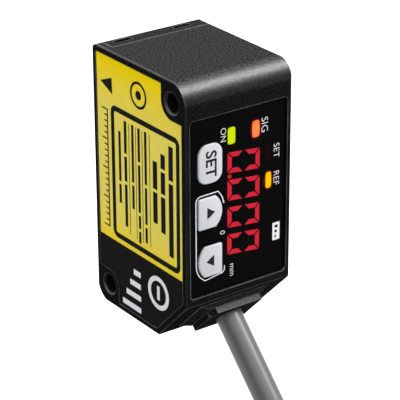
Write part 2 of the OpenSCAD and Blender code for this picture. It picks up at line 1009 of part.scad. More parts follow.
module gland_seal() {
    color(rubber_black)
        on_chamfer()
            translate([0, 0, -seal_cord])
                difference() {
                    cylinder(seal_cord, d = seal_d);
                    translate([0, 0, -1])
                        cylinder(seal_cord + 2, d = neck_d);
                }
}

// Metal ring that stops the cable from being pulled out
module cable_crimp() {
    color(steel)
        on_chamfer()
            translate([0, 0, -neck_l - crimp_l])
                difference() {
                    cylinder(crimp_l, d = cable_d + 2 * cable_gap + 2 * crimp_t);
                    translate([0, 0, -1])
                        cylinder(crimp_l + 2, d = cable_d + 2 * cable_gap);
                }
}

// Wires from the cable's end to the plug
module core_wires() {
    color([0.45, 0.3, 0.2])
        on_chamfer()
            for (i = [0:core_count - 1])
                rotate(90 + i * 360 / core_count)
                    translate([core_ring, 0, -cable_in - core_l])
                        cylinder(core_l, d = core_d, $fn = 20);
}

// Plug that takes the wires on its sloped side and grips the lower edge of the main board
module wire_plug() {
    slope = 2 * chamfer_mid + (cable_in + core_l) * sqrt(2);
    back = display_board_y + board_t + plug_gap;
    front = main_front + plug_front;
    color([0.9, 0.88, 0.8])
        translate([mid_x - plug_w / 2, 0, 0])
            along_x(plug_w)
                polygon([
                    [back, slope - back],
                    [front, slope - front],
                    [front, main_low],
                    [main_board_y, main_low],
                    [main_board_y, main_low + plug_grip],
                    [back, main_low + plug_grip]
                ]);
}

// Cable's line as (y, z, slope): out of the chamfer, round the bend, level to the coil
cable_line = concat(
    [[chamfer_mid + cable_in * sqrt(0.5), chamfer_mid + cable_in * sqrt(0.5), 45]],
    [for (slope = [45:-7.5:0]) [
        bend_from - bend_r * (sqrt(0.5) - sin(slope)),
        bend_from - bend_r * (cos(slope) - sqrt(0.5)),
        slope]],
    [[coil_y, entry_z, 0]]);

module cable() {
    sides = 16;
    rings = len(cable_line);
    r = cable_d / 2;
    points = [for (p = cable_line, i = [0:sides - 1])
        let (a = i * 360 / sides)
            [mid_x + r * cos(a), p.x + r * sin(a) * sin(p.z), p.y - r * sin(a) * cos(p.z)]];
    faces = concat(
        [[for (i = [0:sides - 1]) i]],
        [for (k = [0:rings - 2], i = [0:sides - 1])
            let (j = (i + 1) % sides)
                [k * sides + i, (k + 1) * sides + i, (k + 1) * sides + j, k * sides + j]],
        [[for (i = [sides - 1:-1:0]) (rings - 1) * sides + i]]);
    color(cable_grey)
        polyhedron(points, faces);
}

module coil_body(grow) {
    half = (coil_cols - 1) / 2 * strand + cable_d / 2 + grow;
    translate([coil_x, coil_y, 0])
        rotate_extrude($fn = 72)
            rounded_rect([coil_mid_r - half, coil_bottom - grow], [coil_mid_r + half, coil_top + grow], 1.8);
}

// The cable's remaining length, tied into a coil
module cable_coil() {
    color(cable_grey)
        difference() {
            coil_body(0);
            facing_front(mid_x, coil_y, entry_z)
                cylinder(coil_r, d = cable_d + 2 * cable_gap);
            facing_front(tail_x, coil_y, tail_z)
                cylinder(coil_r, d = cable_d + 2 * cable_gap);
        }
}

module coil_ties() {
    size = [(coil_cols - 1) * strand + cable_d + 2 * tie_t, tie_w, coil_top - coil_bottom + 2 * tie_t];
    color(rubber_black)
        for (turn = [115, 295])
            difference() {
                translate([coil_x, coil_y, (coil_top + coil_bottom) / 2])
                    rotate(turn)
                        translate([coil_mid_r, 0, 0])
                            cube(size, center = true);
                coil_body(0);
            }
}

module cable_tail() {
    color(cable_grey)
        facing_front(tail_x, coil_y, tail_z)
            cylinder(tail_end - coil_y, d = cable_d);
}

// Stripped wires at the cable's free end
module cable_leads() {
    lead_colours = [[0.35, 0.2, 0.1], [0.1, 0.25, 0.7], [0.05, 0.05, 0.05], [0.5, 0.5, 0.5], [0.9, 0.5, 0.6]];
    tip = core_d / 2 * sin(lead_fan);
    for (i = [0:core_count - 1]) {
        turn = 90 + i * 360 / core_count;
        color(lead_colours[i])
            translate([tail_x + core_ring * cos(turn), tail_end + tip, tail_z + core_ring * sin(turn)])
                rotate([-90, 0, -lead_fan * cos(turn)])
                    cylinder(lead_l - tip, d = core_d, $fn = 20);
    }
}

in_frame() {
    case();
    front_cover();
    front_gasket();
    emitter_window();
    receiver_window();
    optical_base();
    laser_holder();
    laser_diode();
    projector_lens();
    lens_ring();
    receiver_lens();
    image_sensor();
    main_board();
    processor();
    laser_driver();
    board_screws();
    board_connector();
    display_board();
    digit_display();
    digit_segments();
    tact_switches();
    set_key();
    up_key();
    down_key();
    laser_indicator();
    output_indicator();
    set_indicator();
    zero_indicator();
    display_panel();
    panel_seal();
    yellow_label();
    lower_label();
    cable_gland();
    gland_seal();
    cable_crimp();
    core_wires();
    wire_plug();
    cable();
    cable_coil();
    coil_ties();
    cable_tail();
    cable_leads();
}
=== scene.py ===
"""Looks of a compact laser displacement sensor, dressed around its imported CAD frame.

Everything is in metres in the part's own frame: +Z is up, the display faces -Y, the laser
leaves towards +Y and the labelled side faces -X. Sizes that repeat part.scad are written in
millimetres from the lowest corner of the case, and at() turns them into frame points.
"""

import logging
import math
from collections.abc import Iterable, Mapping, Sequence
from dataclasses import dataclass, field
from enum import Enum
from functools import cache

import bmesh
import bpy
from mathutils import Matrix, Vector


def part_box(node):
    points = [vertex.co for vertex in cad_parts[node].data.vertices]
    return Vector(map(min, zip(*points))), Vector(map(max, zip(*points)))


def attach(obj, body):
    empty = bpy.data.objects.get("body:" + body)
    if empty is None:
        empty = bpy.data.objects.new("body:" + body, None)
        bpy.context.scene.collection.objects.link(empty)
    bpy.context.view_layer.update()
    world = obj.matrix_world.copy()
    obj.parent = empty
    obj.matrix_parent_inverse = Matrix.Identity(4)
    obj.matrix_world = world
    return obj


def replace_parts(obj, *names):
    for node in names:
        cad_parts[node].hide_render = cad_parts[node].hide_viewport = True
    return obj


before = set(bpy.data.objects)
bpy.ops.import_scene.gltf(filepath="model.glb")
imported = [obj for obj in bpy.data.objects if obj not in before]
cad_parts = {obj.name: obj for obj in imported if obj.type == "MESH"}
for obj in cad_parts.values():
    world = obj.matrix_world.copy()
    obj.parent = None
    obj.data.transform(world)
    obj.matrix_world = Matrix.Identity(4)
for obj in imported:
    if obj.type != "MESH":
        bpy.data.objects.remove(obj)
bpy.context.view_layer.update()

log = logging.getLogger("sensor")

MM = 0.001
WELD = 0.0005 * MM
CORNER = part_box("case")[0]
SENSOR = "sensor"

Colour = tuple[float, float, float]
Triple = tuple[float, float, float]
Point = tuple[float, float]
Form = bmesh.types.BMesh
Piece = bpy.types.Object


def at(x: float, y: float, z: float) -> Vector:
    """Frame point of a place in millimetres from the case's lowest corner."""
    return CORNER + MM * Vector((x, y, z))


def smooth(t: float) -> float:
    """Smooth step of a number from 0 to 1."""
    t = min(1.0, max(0.0, t))
    return t * t * (3 - 2 * t)


# Shader maths


class Socket:
    """A node's output in shader maths: operators on it add Math nodes."""

    def __init__(self, graph: "Graph", socket: bpy.types.NodeSocket) -> None:
        """Wraps one output socket of a graph."""
        self.graph = graph
        self.socket = socket

    def _math(self, operation: str, first: object, second: object) -> "Socket":
        """A Math node on two values."""
        return self.graph.node("ShaderNodeMath", {"operation": operation}, {0: first, 1: second})

    def __add__(self, other: object) -> "Socket":
        """self + other."""
        return self._math("ADD", self, other)

    def __radd__(self, other: object) -> "Socket":
        """other + self."""
        return self._math("ADD", other, self)

    def __sub__(self, other: object) -> "Socket":
        """self - other."""
        return self._math("SUBTRACT", self, other)

    def __rsub__(self, other: object) -> "Socket":
        """other - self."""
        return self._math("SUBTRACT", other, self)

    def __mul__(self, other: object) -> "Socket":
        """self * other."""
        return self._math("MULTIPLY", self, other)

    def __rmul__(self, other: object) -> "Socket":
        """other * self."""
        return self._math("MULTIPLY", other, self)

    def __pow__(self, other: object) -> "Socket":
        """self to the power of other."""
        return self._math("POWER", self, other)

    def above(self, low: float, high: float) -> "Socket":
        """Rises smoothly from 0 at low to 1 at high."""
        settings = {"interpolation_type": "SMOOTHSTEP"}
        return self.graph.node("ShaderNodeMapRange", settings, {0: self, 1: low, 2: high})


class Graph:
    """The node tree of one material or of the world."""

    def __init__(self, owner: bpy.types.Material | bpy.types.World) -> None:
        """Starts an empty tree.

        Args:
            owner: the material or the world that gets it.
        """
        owner.use_nodes = True
        self.tree = owner.node_tree
        self.tree.nodes.clear()
        self.place = self.node("ShaderNodeTexCoord", {}, {}, "Object")

    def node(
        self,
        kind: str,
        settings: Mapping[str, object],
        inputs: Mapping[int | str, object],
        out: int | str = 0,
    ) -> Socket | None:
        """Adds one node.

        Args:
            kind: Blender's type name of the node.
            settings: the node's own settings, set before its sockets.
            inputs: a value or a Socket for each input, by name or place.
            out: the output to return, by name or place.

        Returns:
            That output, or None from a node that has none.
        """
        made = self.tree.nodes.new(kind)
        for key, value in settings.items():
            setattr(made, key, value)
        for key, value in inputs.items():
            self.feed(made.inputs[key], value)
        return Socket(self, made.outputs[out]) if made.outputs else None

    def feed(self, socket: bpy.types.NodeSocket, value: object) -> None:
        """Gives an input what it takes.

        Args:
            socket: the input.
            value: a Socket to link, or a plain value to set.
        """
        if isinstance(value, Socket):
            self.tree.links.new(value.socket, socket)
        elif socket.type == "RGBA" and len(value) == 3:
            socket.default_value = (*value, 1.0)
        else:
            socket.default_value = value

    def vector(
        self, operation: str, first: object, second: object, out: int | str = 0
    ) -> Socket:
        """A Vector Math node on two vectors."""
        settings = {"operation": operation}
        return self.node("ShaderNodeVectorMath", settings, {0: first, 1: second}, out)

    def along(self, axis: str, vector: Socket | None = None) -> Socket:
        """One number of a vector, or of the frame's own points if it is left out."""
        return self.node("ShaderNodeSeparateXYZ", {}, {0: vector or self.place}, axis)

    def normal(self, kind: str = "Normal") -> Socket:
        """The surface's own normal, without bumps."""
        return self.node("ShaderNodeNewGeometry", {}, {}, kind)

    def rounded_normal(self, radius: float) -> Socket:
        """The normal that sharp edges would have if they were rounded by a radius in metres."""
        return self.node("ShaderNodeBevel", {"samples": 4}, {"Radius": radius})

    def noise(self, size: float, detail: float = 2.0, place: Socket | None = None) -> Socket:
        """Soft noise from 0 to 1.

        Args:
            size: size of its features in metres.
            detail: number of finer layers.
            place: where to look it up, the frame's own points if left out.

        Returns:
            Its value.
        """
        inputs = {"Vector": place or self.place, "Scale": 1 / size, "Detail": detail}
        return self.node("ShaderNodeTexNoise", {}, inputs, "Fac")

    def cells(self, size: float) -> Socket:
        """Distance to the middle of the nearest random cell of that size in metres."""
        inputs = {"Vector": self.place, "Scale": 1 / size}
        return self.node("ShaderNodeTexVoronoi", {}, inputs, "Distance")

    def stretched(self, stretch: Triple) -> Socket:
        """The frame's own points, multiplied along each axis."""
        return self.vector("MULTIPLY", self.place, stretch)

    def mix(self, share: object, low: object, high: object) -> Socket:
        """A colour between two colours, by a share from 0 to 1."""
        inputs = {0: share, 6: low, 7: high}
        return self.node("ShaderNodeMix", {"data_type": "RGBA"}, inputs, 2)

    def tinted(self, share: Socket, colour: Colour, spread: float) -> Socket:
        """A colour that varies in brightness.

        Args:
            share: 0 where it is darkest and 1 where it is lightest.
            colour: the colour in between.
            spread: how much darker and lighter it gets.

        Returns:
            The colour.
        """
        low = tuple(c * (1 - spread) for c in colour)
        high = tuple(min(1.0, c * (1 + spread)) for c in colour)
        return self.mix(share, low, high)

    def bump(self, height: Socket, depth: float, strength: float, edge: float = 0.0) -> Socket:
        """A bumped normal.

        Args:
            height: height, from 0 to 1.
            depth: metres that a height of 1 stands for.
            strength: share of the bump that shows.
            edge: radius in metres that sharp edges are softened by.

        Returns:
            The normal.
        """
        inputs = {"Height": height, "Distance": depth, "Strength": strength}
        if edge:
            inputs["Normal"] = self.rounded_normal(edge)
        return self.node("ShaderNodeBump", {}, inputs)

    def surface(self, **inputs: object) -> None:
        """Ends a material's tree in a Principled surface.

        Args:
            **inputs: values or Sockets by the input's name, with its words joined by _.
        """
        named = {key.replace("_", " "): value for key, value in inputs.items()}
        shader = self.node("ShaderNodeBsdfPrincipled", {}, named)
        self.node("ShaderNodeOutputMaterial", {}, {"Surface": shader})


# Finishes


@dataclass(frozen=True)
class Finish:
    """What a surface is made of. Each kind shades a material of its own.

    Attributes:
        name: name of the material.
        colour: main colour, linear.
        roughness: mean roughness.
    """

    name: str
    colour: Colour
    roughness: float = 0.5

    @cache
    def material(self) -> bpy.types.Material:
        """Makes the material at its first use.

        Returns:
            The material of this finish.
        """
        made = bpy.data.materials.new(f"{self.name}_finish")
        self.shade(Graph(made))
        return made

    def shade(self, graph: Graph) -> None:
        """Builds the node tree in a graph."""
        raise NotImplementedError

    def dress(self, *pieces: Piece) -> None:
        """Makes this the only material of some pieces.

        Args:
            *pieces: mesh or curve objects.
        """
        for piece in pieces:
            piece.data.materials.clear()
            piece.data.materials.append(self.material())


@dataclass(frozen=True)
class GrainedFinish(Finish):
    """Moulded plastic or painted metal with a fine grain.

    Attributes:
        grain: size of the grain in millimetres.
        depth: depth of the grain in millimetres.
        spread: how much lighter and darker the grain makes the colour.
        edge: radius in millimetres that sharp edges catch the light with.
        painted_edge_highlight: brightness of the highlight painted along sharp edges and the
            rounded side edges, 0 for none.
        specular: strength of the mirror-like reflection.
        lacquer: weight of the clear coat, laid only on what faces upwards: partly the real lacquer,
            partly a painted sheen that gives top faces their highlight.
    """

    grain: float = 0.16
    depth: float = 0.02
    spread: float = 0.2
    edge: float = 0.08
    painted_edge_highlight: float = 0.0
    specular: float = 0.5
    lacquer: float = 0.0

    def shade(self, graph: Graph) -> None:
        """Builds the node tree.

        Args:
            graph: the tree to fill.
        """
        fine = graph.noise(self.grain * MM, 3.0)
        pits = graph.cells(self.grain * 1.7 * MM)
        cloud = graph.noise(7 * MM)
        base = graph.tinted(fine.above(0.3, 0.7), self.colour, self.spread)
        up = graph.along("Z", graph.normal())
        # Painted highlight: sharp edges get a lighter colour as though they catch the light. The
        # rounded side edges do too, more where they face upwards.
        if self.painted_edge_highlight:
            side_edge_highlight = (0.05 + 0.55 * up.above(0.1, 0.5)) * self.side_edge(graph)
            edge_highlight_share = self.sharp_edge_highlight(graph) + side_edge_highlight
            base = graph.mix(edge_highlight_share * cloud, base, (self.painted_edge_highlight,) * 3)
        contrast = 0.4 + 1.5 * up.above(0.93, 0.995)
        speckle = 1 + contrast * (fine.above(0.38, 0.62) - 0.5)
        graph.surface(
            Base_Color=base,
            Roughness=self.roughness + 0.12 * (cloud - 0.5) + 0.1 * (fine - 0.5),
            Specular_IOR_Level=self.specular,
            # Clear coat only where the surface faces upwards: partly real lacquer, partly a painted
            # sheen on top faces.
            Coat_Weight=self.lacquer * up.above(0.05, 0.5) * speckle,
            Coat_Roughness=0.4,
            Normal=graph.bump(fine + 0.6 * pits, self.depth * MM, 0.6, self.edge * MM),
        )

    @staticmethod
    def side_edge(graph: Graph) -> Socket:
        """1 on the rounded edges of the two sides and 0 on flat faces."""
        share = graph.along("X", graph.normal()) ** 2.0
        return share.above(0.08, 0.3) * (1 - share.above(0.6, 0.9))

    # Mask of the sharp edges that get the painted highlight.
    def sharp_edge_highlight(self, graph: Graph) -> Socket:
        """1 along sharp edges and 0 elsewhere.

        Args:
            graph: the tree to add to.

        Returns:
            The value.
        """
        soft = graph.rounded_normal(1.6 * self.edge * MM)
        same = graph.vector("DOT_PRODUCT", soft, graph.normal("True Normal"), "Value")
        return (1 - same).above(0.01, 0.16)


@dataclass(frozen=True)
class GlossFinish(Finish):
    """Smooth film or moulding that mirrors its surroundings a little.

    Attributes:
        specular: strength of the mirror-like reflection.
        wave: depth in millimetres of the slow waves in the surface.
    """

    specular: float = 0.3
    wave: float = 0.004

    def shade(self, graph: Graph) -> None:
        """Builds the node tree.

        Args:
            graph: the tree to fill.
        """
        cloud = graph.noise(5 * MM)
        dust = graph.noise(0.12 * MM, 1.0).above(0.62, 0.75)
        graph.surface(
            Base_Color=graph.tinted(cloud, self.colour, 0.12),
            Roughness=self.roughness + 0.05 * cloud + 0.12 * dust,
            Specular_IOR_Level=self.specular,
            Normal=graph.bump(graph.noise(2.5 * MM, 1.0), self.wave * MM, 0.5, 0.05 * MM),
        )


@dataclass(frozen=True)
class FilmFinish(Finish):
    """Printed label film: ink on a satin film, with faint mottling, and across its middle height a
    painted sheen over a paler painted colour.

    Attributes:
        specular: strength of the mirror-like reflection.
        painted_sheen: weight of the sheen painted across the middle height.
        painted_sheen_z: height of that painted sheen, in metres.
        painted_sheen_reach: how far it fades out upwards and downwards, in metres.
        pale: the paler colour painted under that sheen, linear, or None where it is the main
            colour.
    """

    specular: float = 0.0
    painted_sheen: float = 0.0
    painted_sheen_z: float = 0.0
    painted_sheen_reach: float = 0.017
    pale: Colour | None = None

    def shade(self, graph: Graph) -> None:
        """Builds the node tree.

        Args:
            graph: the tree to fill.
        """
        mottle = graph.noise(1.4 * MM, 3.0)
        fibre = graph.noise(0.09 * MM, 2.0, graph.stretched((1.0, 0.35, 1.0)))
        speck = 0.7 * mottle + 0.3 * fibre
        base = graph.tinted(speck, self.colour, 0.08)
        # Painted sheen: across the middle height the colour turns paler and a clear coat is laid,
        # as though that band mirrors a bright surrounding.
        middle = self.middle(graph)
        if self.pale:
            base = graph.mix(middle, base, graph.tinted(speck, self.pale, 0.08))
        graph.surface(
            Base_Color=base,
            Roughness=self.roughness + 0.1 * (mottle - 0.5),
            Specular_IOR_Level=self.specular,
            Coat_Weight=self.painted_sheen * middle,
            Coat_Roughness=0.3,
            Normal=graph.bump(fibre, 0.003 * MM, 0.5),
        )

    def middle(self, graph: Graph) -> Socket:
        """1 at the height of the painted sheen, falling to 0 above and below it."""
        off = (graph.along("Z") - self.painted_sheen_z) * (1 / self.painted_sheen_reach)
        return 1 - (off ** 2.0).above(0.0, 1.0)


@dataclass(frozen=True)
class InkFinish(Finish):
    """Screen-printed ink, a little uneven in density."""

    def shade(self, graph: Graph) -> None:
        """Builds the node tree.

        Args:
            graph: the tree to fill.
        """
        density = graph.noise(0.2 * MM)
        graph.surface(
            Base_Color=graph.tinted(density, self.colour, 0.15),
            Roughness=self.roughness + 0.15 * (density - 0.5),
            Specular_IOR_Level=0.01,
            Normal=graph.bump(density, 0.002 * MM, 0.4),
        )


@dataclass(frozen=True)
class RubberFinish(Finish):
    """Soft black rubber with a dusty, uneven sheen."""

    def shade(self, graph: Graph) -> None:
        """Builds the node tree.

        Args:
            graph: the tree to fill.
        """
        fine = graph.noise(0.1 * MM, 3.0)
        cloud = graph.noise(3 * MM)
        graph.surface(
            Base_Color=graph.tinted(0.5 * fine + 0.5 * cloud, self.colour, 0.3),
            Roughness=self.roughness + 0.2 * (cloud - 0.5),
            Specular_IOR_Level=0.35,
            Normal=graph.bump(fine, 0.01 * MM, 0.5, 0.06 * MM),
        )


@dataclass(frozen=True)
class TurnedFinish(Finish):
    """Metal with fine tool marks round the optical axis."""

    def shade(self, graph: Graph) -> None:
        """Builds the node tree.

        Args:
            graph: the tree to fill.
        """
        marks = graph.noise(0.06 * MM, 2.0, graph.stretched((0.2, 1.0, 0.2)))
        cloud = graph.noise(2 * MM)
        graph.surface(
            Base_Color=graph.tinted(cloud, self.colour, 0.12),
            Roughness=self.roughness + 0.18 * (marks - 0.5),
            Metallic=1.0,
            Normal=graph.bump(marks, 0.004 * MM, 0.4, 0.05 * MM),
        )


@dataclass(frozen=True)
class GlassFinish(Finish):
    """Clear or tinted glass with faint wipe marks.

    Attributes:
        clear: share of the light that goes through.
        ior: refractive index.
        coat: weight of the hard coating.
    """

    clear: float = 0.95
    ior: float = 1.5
    coat: float = 0.3

    def shade(self, graph: Graph) -> None:
        """Builds the node tree.

        Args:
            graph: the tree to fill.
        """
        wipe = graph.noise(1.2 * MM, 2.0, graph.stretched((1.0, 1.0, 0.25)))
        graph.surface(
            Base_Color=graph.tinted(wipe, self.colour, 0.05),
            Roughness=self.roughness + 0.04 * wipe,
            IOR=self.ior,
            Transmission_Weight=self.clear,
            Coat_Weight=self.coat,
            Coat_Roughness=0.05,
        )


@dataclass(frozen=True)
class BoardFinish(Finish):
    """Circuit board: green lacquer over copper tracks, with bare pads.

    Attributes:
        pitch: distance between tracks in millimetres.
        pad: colour of the bare pads, linear.
    """

    pitch: float = 0.5
    pad: Colour = (0.75, 0.6, 0.35)

    def shade(self, graph: Graph) -> None:
        """Builds the node tree.

        Args:
            graph: the tree to fill.
        """
        flat = graph.node("ShaderNodeCombineXYZ", {}, {0: graph.along("X"), 1: graph.along("Z")})
        inputs = {
            "Vector": flat,
            "Scale": 1 / (12 * self.pitch * MM),
            "Mortar Size": 0.03,
            "Brick Width": 0.45,
            "Row Height": 0.11,
        }
        settings = {"offset": 0.35, "squash": 0.6}
        track = graph.node("ShaderNodeTexBrick", settings, inputs, "Fac")
        pads = 1 - graph.cells(1.6 * MM).above(0.1, 0.16)
        lacquer = graph.mix(track, self.colour, tuple(c * 1.9 for c in self.colour))
        graph.surface(
            Base_Color=graph.mix(pads, lacquer, self.pad),
            Metallic=pads * 0.9,
            Roughness=self.roughness + 0.15 * track,
            Normal=graph.bump(track, 0.03 * MM, 0.5),
        )


@dataclass(frozen=True)
class LitFinish(Finish):
    """Plastic that is lit from behind, with a core of one colour and a rim of another.

    Attributes:
        rim: colour at the rim, linear.
        middle: frame point of the light's middle, in metres.
        half: half of the light's width and height, in metres.
        glow: brightness.
    """

    rim: Colour = (1.0, 0.1, 0.0)
    middle: Triple = (0.0, 0.0, 0.0)
    half: Point = (0.001, 0.001)
    glow: float = 1.0

    def reach(self, graph: Graph) -> Socket:
        """Distance from the light's middle, 1 at the ends of its width and height.

        Args:
            graph: the tree to add to.

        Returns:
            The distance.
        """
        off = graph.vector("SUBTRACT", graph.place, self.middle)
        share = (1 / self.half[0], 0.0, 1 / self.half[1])
        scaled = graph.vector("MULTIPLY", off, share)
        return graph.node("ShaderNodeVectorMath", {"operation": "LENGTH"}, {0: scaled}, "Value")

    def shade(self, graph: Graph) -> None:
        """Builds the node tree.

        Args:
            graph: the tree to fill.
        """
        haze = graph.noise(0.35 * MM)
        rim = (self.reach(graph) + 0.25 * (haze - 0.5)).above(0.75, 1.35)
        unlit_core, unlit_rim = (tuple(c * 0.05 for c in lit) for lit in (self.colour, self.rim))
        graph.surface(
            Base_Color=graph.mix(rim, unlit_core, unlit_rim),
            Roughness=self.roughness + 0.1 * (haze - 0.5),
            Specular_IOR_Level=0.012,
            Emission_Color=graph.mix(rim, self.colour, self.rim),
            Emission_Strength=self.glow,
        )


@dataclass(frozen=True)
class HaloFinish(LitFinish):
    """Stray light round a bright light guide, fading to nothing."""

    def shade(self, graph: Graph) -> None:
        """Builds the node tree.

        Args:
            graph: the tree to fill.
        """
        fade = 1 - self.reach(graph).above(0.25, 1.0)
        haze = graph.noise(0.5 * MM)
        graph.surface(
            Base_Color=self.rim,
            Roughness=self.roughness,
            Specular_IOR_Level=0.0,
            Emission_Color=self.colour,
            Emission_Strength=self.glow,
            Alpha=0.32 * fade ** 2.0 * (0.85 + 0.3 * haze),
        )


@dataclass(frozen=True)
class JacketFinish(Finish):
    """Extruded cable jacket: satin, with fine drawn streaks and a trace of handling."""

    def shade(self, graph: Graph) -> None:
        """Builds the node tree.

        Args:
            graph: the tree to fill.
        """
        streak = graph.noise(0.5 * MM, 2.0, graph.stretched((1.0, 0.2, 0.2)))
        fine = graph.noise(0.09 * MM)
        cloud = graph.noise(9 * MM)
        graph.surface(
            Base_Color=graph.tinted(0.4 * streak + 0.6 * cloud, self.colour, 0.07),
            Roughness=self.roughness + 0.15 * (streak - 0.5),
            Specular_IOR_Level=0.55,
            Normal=graph.bump(fine + streak, 0.006 * MM, 0.5),
        )


@dataclass(frozen=True)
class StrapFinish(Finish):
    """Woven hook-and-loop strap.

    Attributes:
        rib: distance between its ribs in millimetres.
    """

    rib: float = 0.9

    def shade(self, graph: Graph) -> None:
        """Builds the node tree.

        Args:
            graph: the tree to fill.
        """
        scale = 1 / (self.rib * MM)
        inputs = {"Vector": graph.place, "Scale": scale, "Distortion": 1.5, "Detail": 2.0}
        ribs = graph.node("ShaderNodeTexWave", {"bands_direction": "Z"}, inputs, "Fac")
        fuzz = graph.noise(0.12 * MM, 3.0)
        graph.surface(
            Base_Color=graph.tinted(0.5 * ribs + 0.5 * fuzz, self.colour, 0.4),
            Roughness=self.roughness + 0.1 * (fuzz - 0.5),
            Sheen_Weight=0.3,
            Normal=graph.bump(ribs + fuzz, 0.05 * MM, 0.6),
        )


PAINT = (0.0075, 0.0075, 0.0077)
# The black finishes below carry a painted highlight along their edges. They also carry a clear coat
# only on upward faces, which is partly real lacquer and partly painted sheen.
CASE_BLACK = GrainedFinish(
    "case_black",
    PAINT,
    0.42,
    grain=0.22,
    spread=0.7,
    edge=0.16,
    painted_edge_highlight=0.3,
    specular=0.0,
    lacquer=0.94,
)
COVER_BLACK = GrainedFinish(
    "cover_black",
    PAINT,
    0.46,
    grain=0.22,
    spread=0.7,
    edge=0.14,
    painted_edge_highlight=0.4,
    specular=0.0,
    lacquer=0.65,
)
GLAND_BLACK = GrainedFinish(
    "gland_black",
    (0.011, 0.011, 0.0112),
    0.5,
    grain=0.28,
    depth=0.03,
    spread=0.7,
    edge=0.14,
    painted_edge_highlight=0.2,
    specular=0.0,
    lacquer=0.45,
)
KEY_SILVER = GrainedFinish(
    "key_silver", (0.50, 0.512, 0.53), 0.36, grain=0.1, depth=0.006, spread=0.06
)
OPTICS_BLACK = GrainedFinish("optics_black", (0.012, 0.012, 0.012), 0.7, grain=0.3, depth=0.03)
CONNECTOR_IVORY = GrainedFinish(
    "connector_ivory", (0.72, 0.68, 0.55), 0.45, depth=0.008, spread=0.05
)
CHIP_BLACK = GrainedFinish("chip_black", (0.02, 0.02, 0.022), 0.55, grain=0.08, depth=0.006)
PANEL_BLACK = GlossFinish("panel_black", (0.001, 0.001, 0.0011), 0.16, specular=0.012)
DISPLAY_BLACK = GlossFinish("display_black", (0.006, 0.006, 0.007), 0.3)
LABEL_BLACK = FilmFinish("label_black", (0.002, 0.002, 0.0023), 0.4, specular=0.01)
# The yellow label carries a painted sheen and a paler painted colour across its middle height.
LABEL_YELLOW = FilmFinish(
    "label_yellow",
    (0.80, 0.595, 0.002),
    0.34,
    painted_sheen=0.85,
    painted_sheen_z=at(0, 0, 26).z,
    pale=(0.645, 0.535, 0.003),
)
INK_BLACK = InkFinish("ink_black", (0.006, 0.006, 0.005), 0.45)
INK_WHITE = InkFinish("ink_white", (0.72, 0.72, 0.74), 0.45)
INK_GREY = InkFinish("ink_grey", (0.016, 0.019, 0.028), 0.5)
FLOOR_WHITE = InkFinish("floor_white", (0.92, 0.92, 0.92), 0.7)
SEAL_RUBBER = RubberFinish("seal_rubber", (0.012, 0.012, 0.012), 0.6)
BRIGHT_STEEL = TurnedFinish("bright_steel", (0.62, 0.62, 0.64), 0.28)
HOLDER_BRASS = TurnedFinish("holder_brass", (0.72, 0.52, 0.22), 0.3)
TIN = TurnedFinish("tinned_copper", (0.70, 0.69, 0.66), 0.32)
WINDOW_TINT = GlassFinish(
    "window_tint", (0.16, 0.012, 0.014), 0.02, clear=0.9, ior=1.22, coat=0.0
)
LENS_GLASS = GlassFinish("lens_glass", (0.93, 0.96, 1.0), 0.01)
BOARD_GREEN = BoardFinish("board_green", (0.01, 0.07, 0.03), 0.4)
CABLE_GREY = JacketFinish("cable_grey", (0.11, 0.11, 0.113), 0.34)
TIE_BLACK = StrapFinish("tie_black", (0.02, 0.02, 0.021), 0.8)


class Lead(Enum):
    """Insulation colours of the wires at the cable's free end, in order round the cable."""

    BROWN = (0.10, 0.035, 0.012)
    BLUE = (0.012, 0.05, 0.32)
    BLACK = (0.01, 0.01, 0.01)
    GREY = (0.24, 0.24, 0.25)
    PINK = (0.70, 0.20, 0.28)

    def finish(self) -> Finish:
        """The jacket of this wire."""
        return JacketFinish(f"lead_{self.name.lower()}", self.value, 0.42)


# Making pieces


def add_object(name: str, data: bpy.types.ID) -> Piece:
    """Puts new data into the scene, at the frame's origin.

    Args:
        name: the object's name.
        data: mesh, curve, light or camera data.

    Returns:
        The new object.
    """
    made = bpy.data.objects.new(name, data)
    bpy.context.scene.collection.objects.link(made)
    return made


def add_mesh(name: str, form: Form, rounded: bool = False, sharp: float = 32.0) -> Piece:
    """Turns a bmesh into a piece without doubled points, with its normals outwards.

    Args:
        name: the piece's name.
        form: the mesh, which is freed.
        rounded: smooth shading except along sharp edges.
        sharp: angle in degrees from which an edge is sharp.

    Returns:
        The new object.
    """
    bmesh.ops.remove_doubles(form, verts=form.verts, dist=WELD)
    bmesh.ops.dissolve_degenerate(form, edges=form.edges, dist=WELD)
    bmesh.ops.recalc_face_normals(form, faces=form.faces)
    if rounded:
        for face in form.faces:
            face.smooth = True
        for edge in form.edges:
            edge.smooth = edge.calc_face_angle(0.0) < math.radians(sharp)
    mesh = bpy.data.meshes.new(name)
    form.to_mesh(mesh)
    form.free()
    return add_object(name, mesh)


def settle(piece: Piece, finish: Finish, body: str = SENSOR) -> Piece:
    """Dresses a piece and lets it ride on a body.

    Args:
        piece: the new piece.
        finish: its finish.
        body: the body that carries it.

    Returns:
        The piece.
    """
    finish.dress(piece)
    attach(piece, body)
    log.info("%s rides on %s", piece.name, body)
    return piece


def dress_nodes(looks: Mapping[str, Finish]) -> None:
    """Gives CAD nodes their finishes.

    Args:
        looks: finish of each node.
    """
    for node, finish in looks.items():
        finish.dress(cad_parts[node])
        log.info("%s is finished in %s", node, finish.name)


def arc(middle: Point, radius: float, start: float, end: float, steps: int) -> list[Point]:
    """Points on an arc.

    Args:
        middle: its centre.
        radius: its radius.
        start: angle of its first point, in degrees.
        end: angle of its last point, in degrees.
        steps: number of equal steps between them.

    Returns:
        The points.
    """
    angles = [math.radians(start + (end - start) * i / steps) for i in range(steps + 1)]
    return [(middle[0] + radius * math.cos(a), middle[1] + radius * math.sin(a)) for a in angles]


